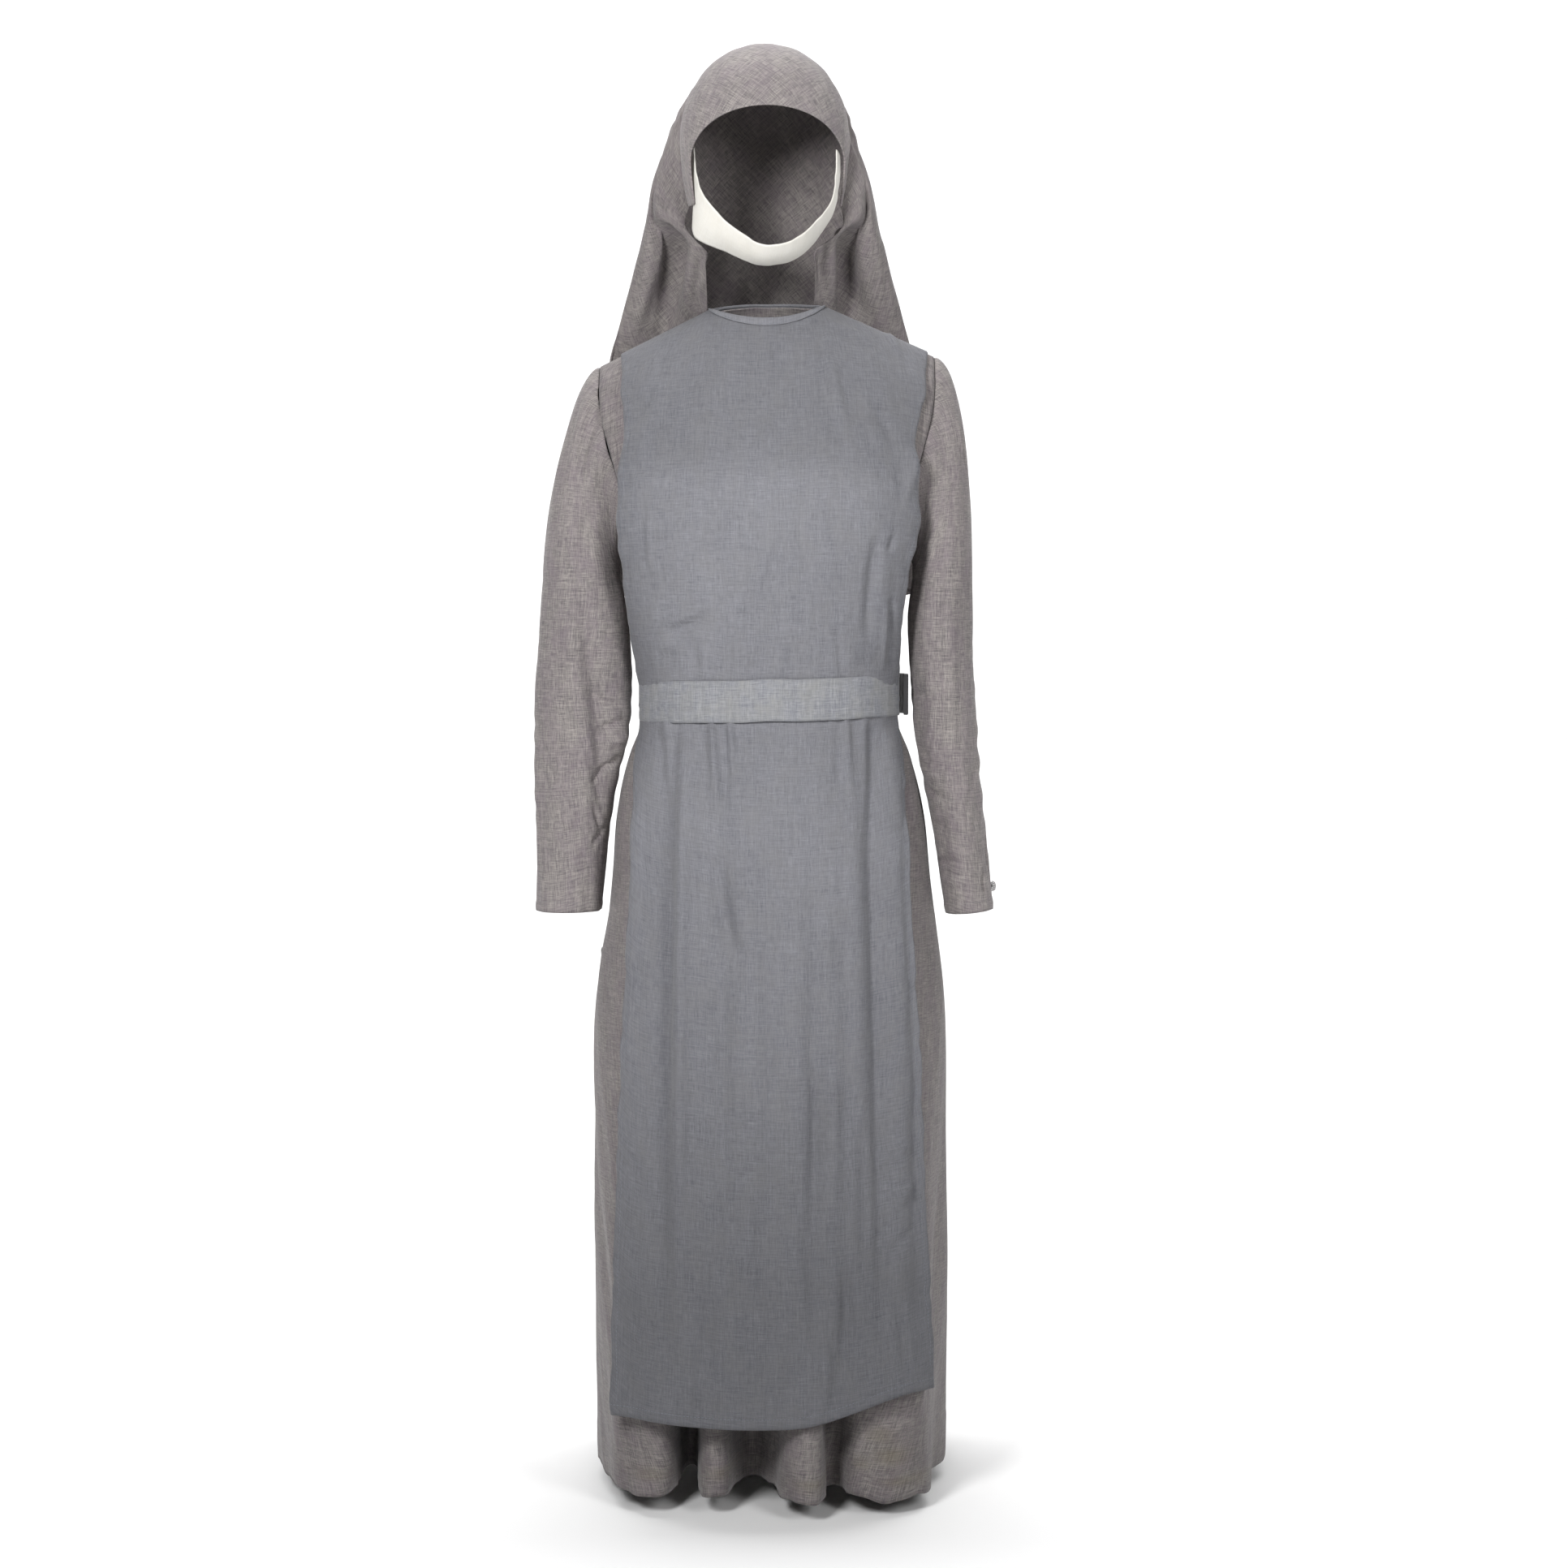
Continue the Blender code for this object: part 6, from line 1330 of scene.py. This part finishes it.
def belt(look, layers):
    """The taut cloth belt with its folded edges."""
    columns, rows = BELT_GRID
    start = BELT_END_ANGLE + BELT_END_GAP / 2
    end = BELT_END_ANGLE - BELT_END_GAP / 2 + 360.0
    angles = np.linspace(start, end, columns)
    x, y = belt_ring(angles, SCAPULAR_WALL)
    levels = np.linspace(BELT_HEIGHT / 2, -BELT_HEIGHT / 2, rows)
    z = WAIST_Z + BELT_TILT * x[None, :] + levels[:, None]
    ring = np.stack([np.broadcast_to(x, z.shape), np.broadcast_to(y, z.shape), z], axis=-1)
    laid = laid_over(ring, search_tree(*layers), 1.4 * LAID_ON, rounds=5)
    reach = np.hypot(laid[..., 0], laid[..., 1]).max(axis=0) / np.hypot(x, y)
    taut = np.maximum(smoothed(reach, 5), reach)
    taut = smoothed(taut, 2)
    inner = ring.copy()
    inner[..., 0], inner[..., 1] = x * taut, y * taut
    normals = facing_out(inner, flattened(grid_normals(inner), 2), spine_like(inner))
    across, down = arc_lengths(inner)
    height = 0.0004 * ripples(across, down, 41, 0.03, 0.10, 0.8)
    height += 0.0003 * ripples(across, down, 42, 0.008, 0.02, 2.0)
    height += 0.0006 * np.exp(-(((down - BELT_FOLD) / 0.0022) ** 2))
    height -= 0.0005 * np.exp(-(((down - BELT_STITCHING) / 0.002) ** 2))
    edge = np.minimum(down, down[-1] - down)
    height += 0.0008 * smooth(0.0, 0.004, edge) - 0.0008
    outer = inner + (BELT_WALL + height)[..., None] * normals
    outer[..., 2] += 0.0007 * ripples(across, 0 * across, 43, 0.03, 0.15)
    thing = cloth("belt", outer, normals, BELT_WALL + height, look)
    return outer, normals


def cap_band(look):
    """The fitted cap band; returns its rear rim and its lining."""
    along, across_steps = CAP_GRID
    t = np.linspace(-1.0, 1.0, along + 1)
    front, rear = face_edge(t), cap_seam(t)
    grid = np.array([on_head(front * (1 - w) + rear * w) for w in np.linspace(0.0, 1.0, across_steps + 1)])
    normals = facing_out(grid, grid_normals(grid), HEAD_CENTRE)
    across, down = arc_lengths(grid)
    height = 0.0006 * smooth(0.0, 0.02, down) * ripples(across, down, 51, 0.02, 0.08, 1.5)
    height += hem_relief(down, CAP_HEM, 0.0004, 0.0004) + 0.8 * seam_relief(down[-1] - down)
    outer = grid + height[..., None] * normals
    normals = facing_out(outer, grid_normals(outer), HEAD_CENTRE)
    thing = cloth("cap_band", outer, normals, CAP_WALL, look)
    onward = outer[-1] - outer[-2]
    onward /= np.linalg.norm(onward, axis=1, keepdims=True)
    lining = (outer - CAP_WALL * normals, -normals)
    return (t, outer[-1], normals[-1], onward), lining


def veil(look, seam, layers):
    """The veil, sewn to the cap band and falling behind the shoulders."""
    columns, steps = VEIL_GRID
    cap_t, cap_rim, cap_normals, cap_onward = seam
    t = np.linspace(-1.0, 1.0, columns + 1)

    def along_cap(values):
        return np.stack([np.interp(t, cap_t, values[:, k]) for k in range(3)], axis=-1)

    start_normals = along_cap(cap_normals)
    start = along_cap(cap_rim) + 1.0 * SEAM * along_cap(cap_onward)
    sideways = np.abs(start[:, 0] - HEAD_CENTRE[0]) / HEAD_ACROSS
    forward = (HEAD_CENTRE[1] - start[:, 1]) / HEAD_ALONG
    first_angle = np.degrees(np.arctan2(sideways, forward))
    above = np.clip((start[:, 2] - HEAD_CENTRE[2]) / HEAD_ABOVE, 0.0, 1.0)
    dome_angle = np.arccos(above)
    dome_length = np.where(start[:, 2] > HEAD_CENTRE[2], HEAD_ARC_RADIUS * (math.pi / 2 - dome_angle), 0.0)
    top_z = np.minimum(start[:, 2], HEAD_CENTRE[2])
    length = dome_length + top_z - (VEIL_HEM_Z - 0.012 * np.cos(t * math.pi))
    rows = []
    for v in np.linspace(0.0, 1.0, steps + 1):
        s = length * v
        bend = dome_angle + s / HEAD_ARC_RADIUS
        on_dome = HEAD_CENTRE[2] + HEAD_ABOVE * np.cos(np.minimum(bend, math.pi / 2))
        z = np.where(s < dome_length, on_dome, top_z - (s - dome_length))
        edge = follow(VEIL, "edge_angle", z)
        spread = edge + (180.0 - edge) * (1.0 - np.abs(t)) ** 1.45
        around = first_angle + (spread - first_angle) * smooth(0.0, 0.42 - 0.28 * np.abs(t) ** 3, v)
        x, y = veil_cut(t, np.where(t < 0, -1.0, 1.0) * around, z)
        rows.append(np.stack([x, y, z], axis=-1))
    grid = np.array(rows)
    fade = 1.0 - smooth(0.0, 0.16, np.linspace(0.0, 1.0, steps + 1))
    grid += (start - grid[0]) * fade[:, None, None]
    middle = np.array((0.0, 0.03, 0.1))
    normals = facing_out(grid, grid_normals(grid), middle)
    across, down = arc_lengths(grid)
    loose = smooth(0.0, 0.05, down)
    height = 0.0022 * loose * smooth(0.0, 0.25, down) * ripples(across, down, 61, 0.030, 0.14, 4.0)
    height += 0.0006 * loose * ripples(across, down, 62, 0.010, 0.035, 1.5)
    height += 0.8 * seam_relief(down)
    wing = smooth(0.42, 0.60, np.abs(t)) * smooth(0.03, 0.10, down)
    height += VEIL_CREASE_GAIN * wing * crease_height(VEIL_CREASES, grid[..., 0], grid[..., 2])
    height += smooth(0.60, 0.42, np.abs(t)) * crease_height(VEIL_BACK_CREASES, grid[..., 0], grid[..., 2])
    at_edge = np.minimum(across - across[:, :1], across[:, -1:] - across)
    height += hem_relief(at_edge, VEIL_SIDE_HEM, 0.0004, 0.0005) * loose
    height += hem_relief(down[-1] - down, VEIL_HEM)
    grid = grid + height[..., None] * normals
    outer = laid_over(grid, search_tree(*layers), VEIL_WALL + 3.0 * LAID_ON, deepest=0.03, rounds=4)
    normals = facing_out(outer, grid_normals(outer), middle)
    normals[0] = start_normals
    thing = cloth("veil", outer, normals, VEIL_WALL, look)
    # Painted shade: the veil below the crown is painted darker, for the shade in its folds
    paint_shade(thing, outer, VEIL_PAINTED_SHADE)


def chin_band(look, lining):
    """The pale band under the chin, its ends inside the cap band."""
    along, steps = CHIN_GRID
    share = np.linspace(0.0, 1.0, along + 1)
    face = through([(c.face_x, c.face_y, c.face_z) for c in CHIN_BAND], share)
    back = through([(c.back_x, c.back_y, c.back_z) for c in CHIN_BAND], share)
    across = np.linspace(0.0, 1.0, steps + 1)[:, None, None]
    grid = face * (1 - across) + back * across
    inside = np.array((0.0, -0.03, 0.16))
    normals = facing_out(grid, grid_normals(grid), inside)
    grid = grid + normals * 0.003 * np.sin(across * math.pi)
    jaw = np.exp(-(((share - JAW_PLACE) / 0.065) ** 2))[None, :, None] * across**1.5
    grid = grid + jaw * np.array(JAW_SHIFT)
    a, b = arc_lengths(grid)
    height = 0.0005 * ripples(a, b, 71, 0.015, 0.06, 1.0) + hem_relief(b, CHIN_HEM, 0.0003, 0.0002)
    grid = grid + (height * smooth(0.0, 0.03, np.minimum(a - a[:, :1], a[:, -1:] - a)))[..., None] * normals
    outer = laid_over(grid, search_tree(lining), LAID_ON, rounds=4)
    normals = facing_out(outer, grid_normals(outer), inside)
    thing = cloth("chin_band", outer, normals, CHIN_WALL, look)


def restyle(node, look, subdivisions=0):
    """A solid that is shown as it is, in its own finish."""
    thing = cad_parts[node]
    thing.data.materials.clear()
    thing.data.materials.append(look)
    if subdivisions:
        soft = thing.modifiers.new("soft", "SUBSURF")
        soft.levels = soft.render_levels = subdivisions


def studio():
    """A pale seamless floor and backdrop, soft lights and the camera."""
    scene = bpy.context.scene
    bend = np.linspace(0.1, math.pi / 2, 14)
    depth = np.concatenate([np.linspace(-6.0, 2.2, 12), 2.2 + 1.6 * np.sin(bend), [3.8]])
    rise = np.concatenate([np.zeros(12), 1.6 - 1.6 * np.cos(bend), [6.0]])
    points, faces = [], []
    for k, (y, up) in enumerate(zip(depth, rise)):
        points += [(-7.0, y, FLOOR_Z + up), (7.0, y, FLOOR_Z + up)]
        if k:
            faces.append((2 * k - 2, 2 * k - 1, 2 * k + 1, 2 * k))
    mesh = bpy.data.meshes.new("floor")
    mesh.from_pydata(points, [], faces)
    mesh.shade_smooth()
    mesh.materials.append(plain("floor", (0.80, 0.80, 0.80), 0.9))
    floor = bpy.data.objects.new("floor", mesh)
    scene.collection.objects.link(floor)

    world = bpy.data.worlds.new("studio")
    world.use_nodes = True
    world.node_tree.nodes["Background"].inputs["Color"].default_value = (1.0, 1.0, 1.0, 1.0)
    world.node_tree.nodes["Background"].inputs["Strength"].default_value = WORLD_LIGHT
    scene.world = world
    for name, place, aim, size, power in LIGHTS:
        lamp = bpy.data.lights.new(name, "AREA")
        lamp.shape = "RECTANGLE"
        lamp.size, lamp.size_y = size
        lamp.energy = power
        thing = bpy.data.objects.new(name, lamp)
        thing.location = place
        thing.rotation_euler = (Vector(aim) - Vector(place)).to_track_quat("-Z", "Y").to_euler()
        scene.collection.objects.link(thing)

    camera = bpy.data.cameras.new("camera")
    camera.lens = CAMERA_LENS
    camera.sensor_width = 36.0
    thing = bpy.data.objects.new("camera", camera)
    thing.location = CAMERA_PLACE
    thing.rotation_euler = (math.radians(90.0 - CAMERA_TILT), 0.0, 0.0)
    scene.collection.objects.link(thing)
    scene.camera = thing
    scene.view_settings.view_transform = "Standard"


FLOOR_Z = -1.362
WORLD_LIGHT = 0.09
Light = namedtuple("Light", "name place aim size power")
LIGHTS = (
    Light("key", (-1.0, -2.3, 0.60), (0.0, 0.0, -0.15), (0.6, 0.8), 67.0),
    Light("fill", (1.5, -2.2, 0.40), (0.0, 0.0, -0.20), (0.8, 1.0), 35.0),
    Light("back", (0.0, 1.2, 2.6), (0.0, 2.8, -1.2), (5.0, 2.0), 230.0),
)
CAMERA_PLACE = (0.0197, -3.6, -0.3067)
CAMERA_TILT = 3.79
CAMERA_LENS = 70.73

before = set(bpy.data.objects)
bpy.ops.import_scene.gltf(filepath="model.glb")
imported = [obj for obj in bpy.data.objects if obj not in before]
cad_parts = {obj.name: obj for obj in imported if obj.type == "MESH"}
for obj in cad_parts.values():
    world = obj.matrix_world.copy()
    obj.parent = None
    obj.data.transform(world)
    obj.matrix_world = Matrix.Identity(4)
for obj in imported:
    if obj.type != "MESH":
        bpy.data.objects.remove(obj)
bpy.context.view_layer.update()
warm = linen("warm_linen", WARM)
warm_stained = linen("warm_linen_marked", WARM, stained=True)
warm_bias = linen("warm_linen_bias", WARM_BIAS)
blue = linen("blue_linen", BLUE)
belt_cloth = linen("belt_linen", BELT_WEAVE)
ivory = linen("ivory_cotton", IVORY_WEAVE)
black = plain("black_plastic", (0.012, 0.012, 0.013), 0.45)
metal = plain("dark_metal", (0.05, 0.05, 0.055), 0.35, 0.9)
blue_thread = plain("blue_thread", THREAD_BLUE, 0.8)
grey_thread = plain("grey_thread", THREAD_GREY, 0.8)

rims, tunic_sheets = tunic(warm_stained)
cuffs = [
    sleeve("right", rims, RIGHT_SLEEVE, RIGHT_CAP, RIGHT_SLEEVE_CREASES, warm),
    sleeve("left", rims, LEFT_SLEEVE, LEFT_CAP, LEFT_SLEEVE_CREASES, warm),
]
cuff_rows = [(np.vstack([p, p[:1]]), np.vstack([n, n[:1]])) for p, n in cuffs]
stitches("cuff_stitches", cuff_rows, grey_thread)
scapular_sheets = scapular(blue, blue_thread, tunic_sheets)
belt(belt_cloth, [*tunic_sheets, *scapular_sheets])
seam, lining = cap_band(warm_bias)
veil(warm_bias, seam, [*tunic_sheets, *scapular_sheets])
chin_band(ivory, lining)
restyle("belt_clasp", black)
restyle("cuff_button_left", warm, 2)
restyle("cuff_button_right", warm, 2)
restyle("side_stud", metal, 2)
studio()
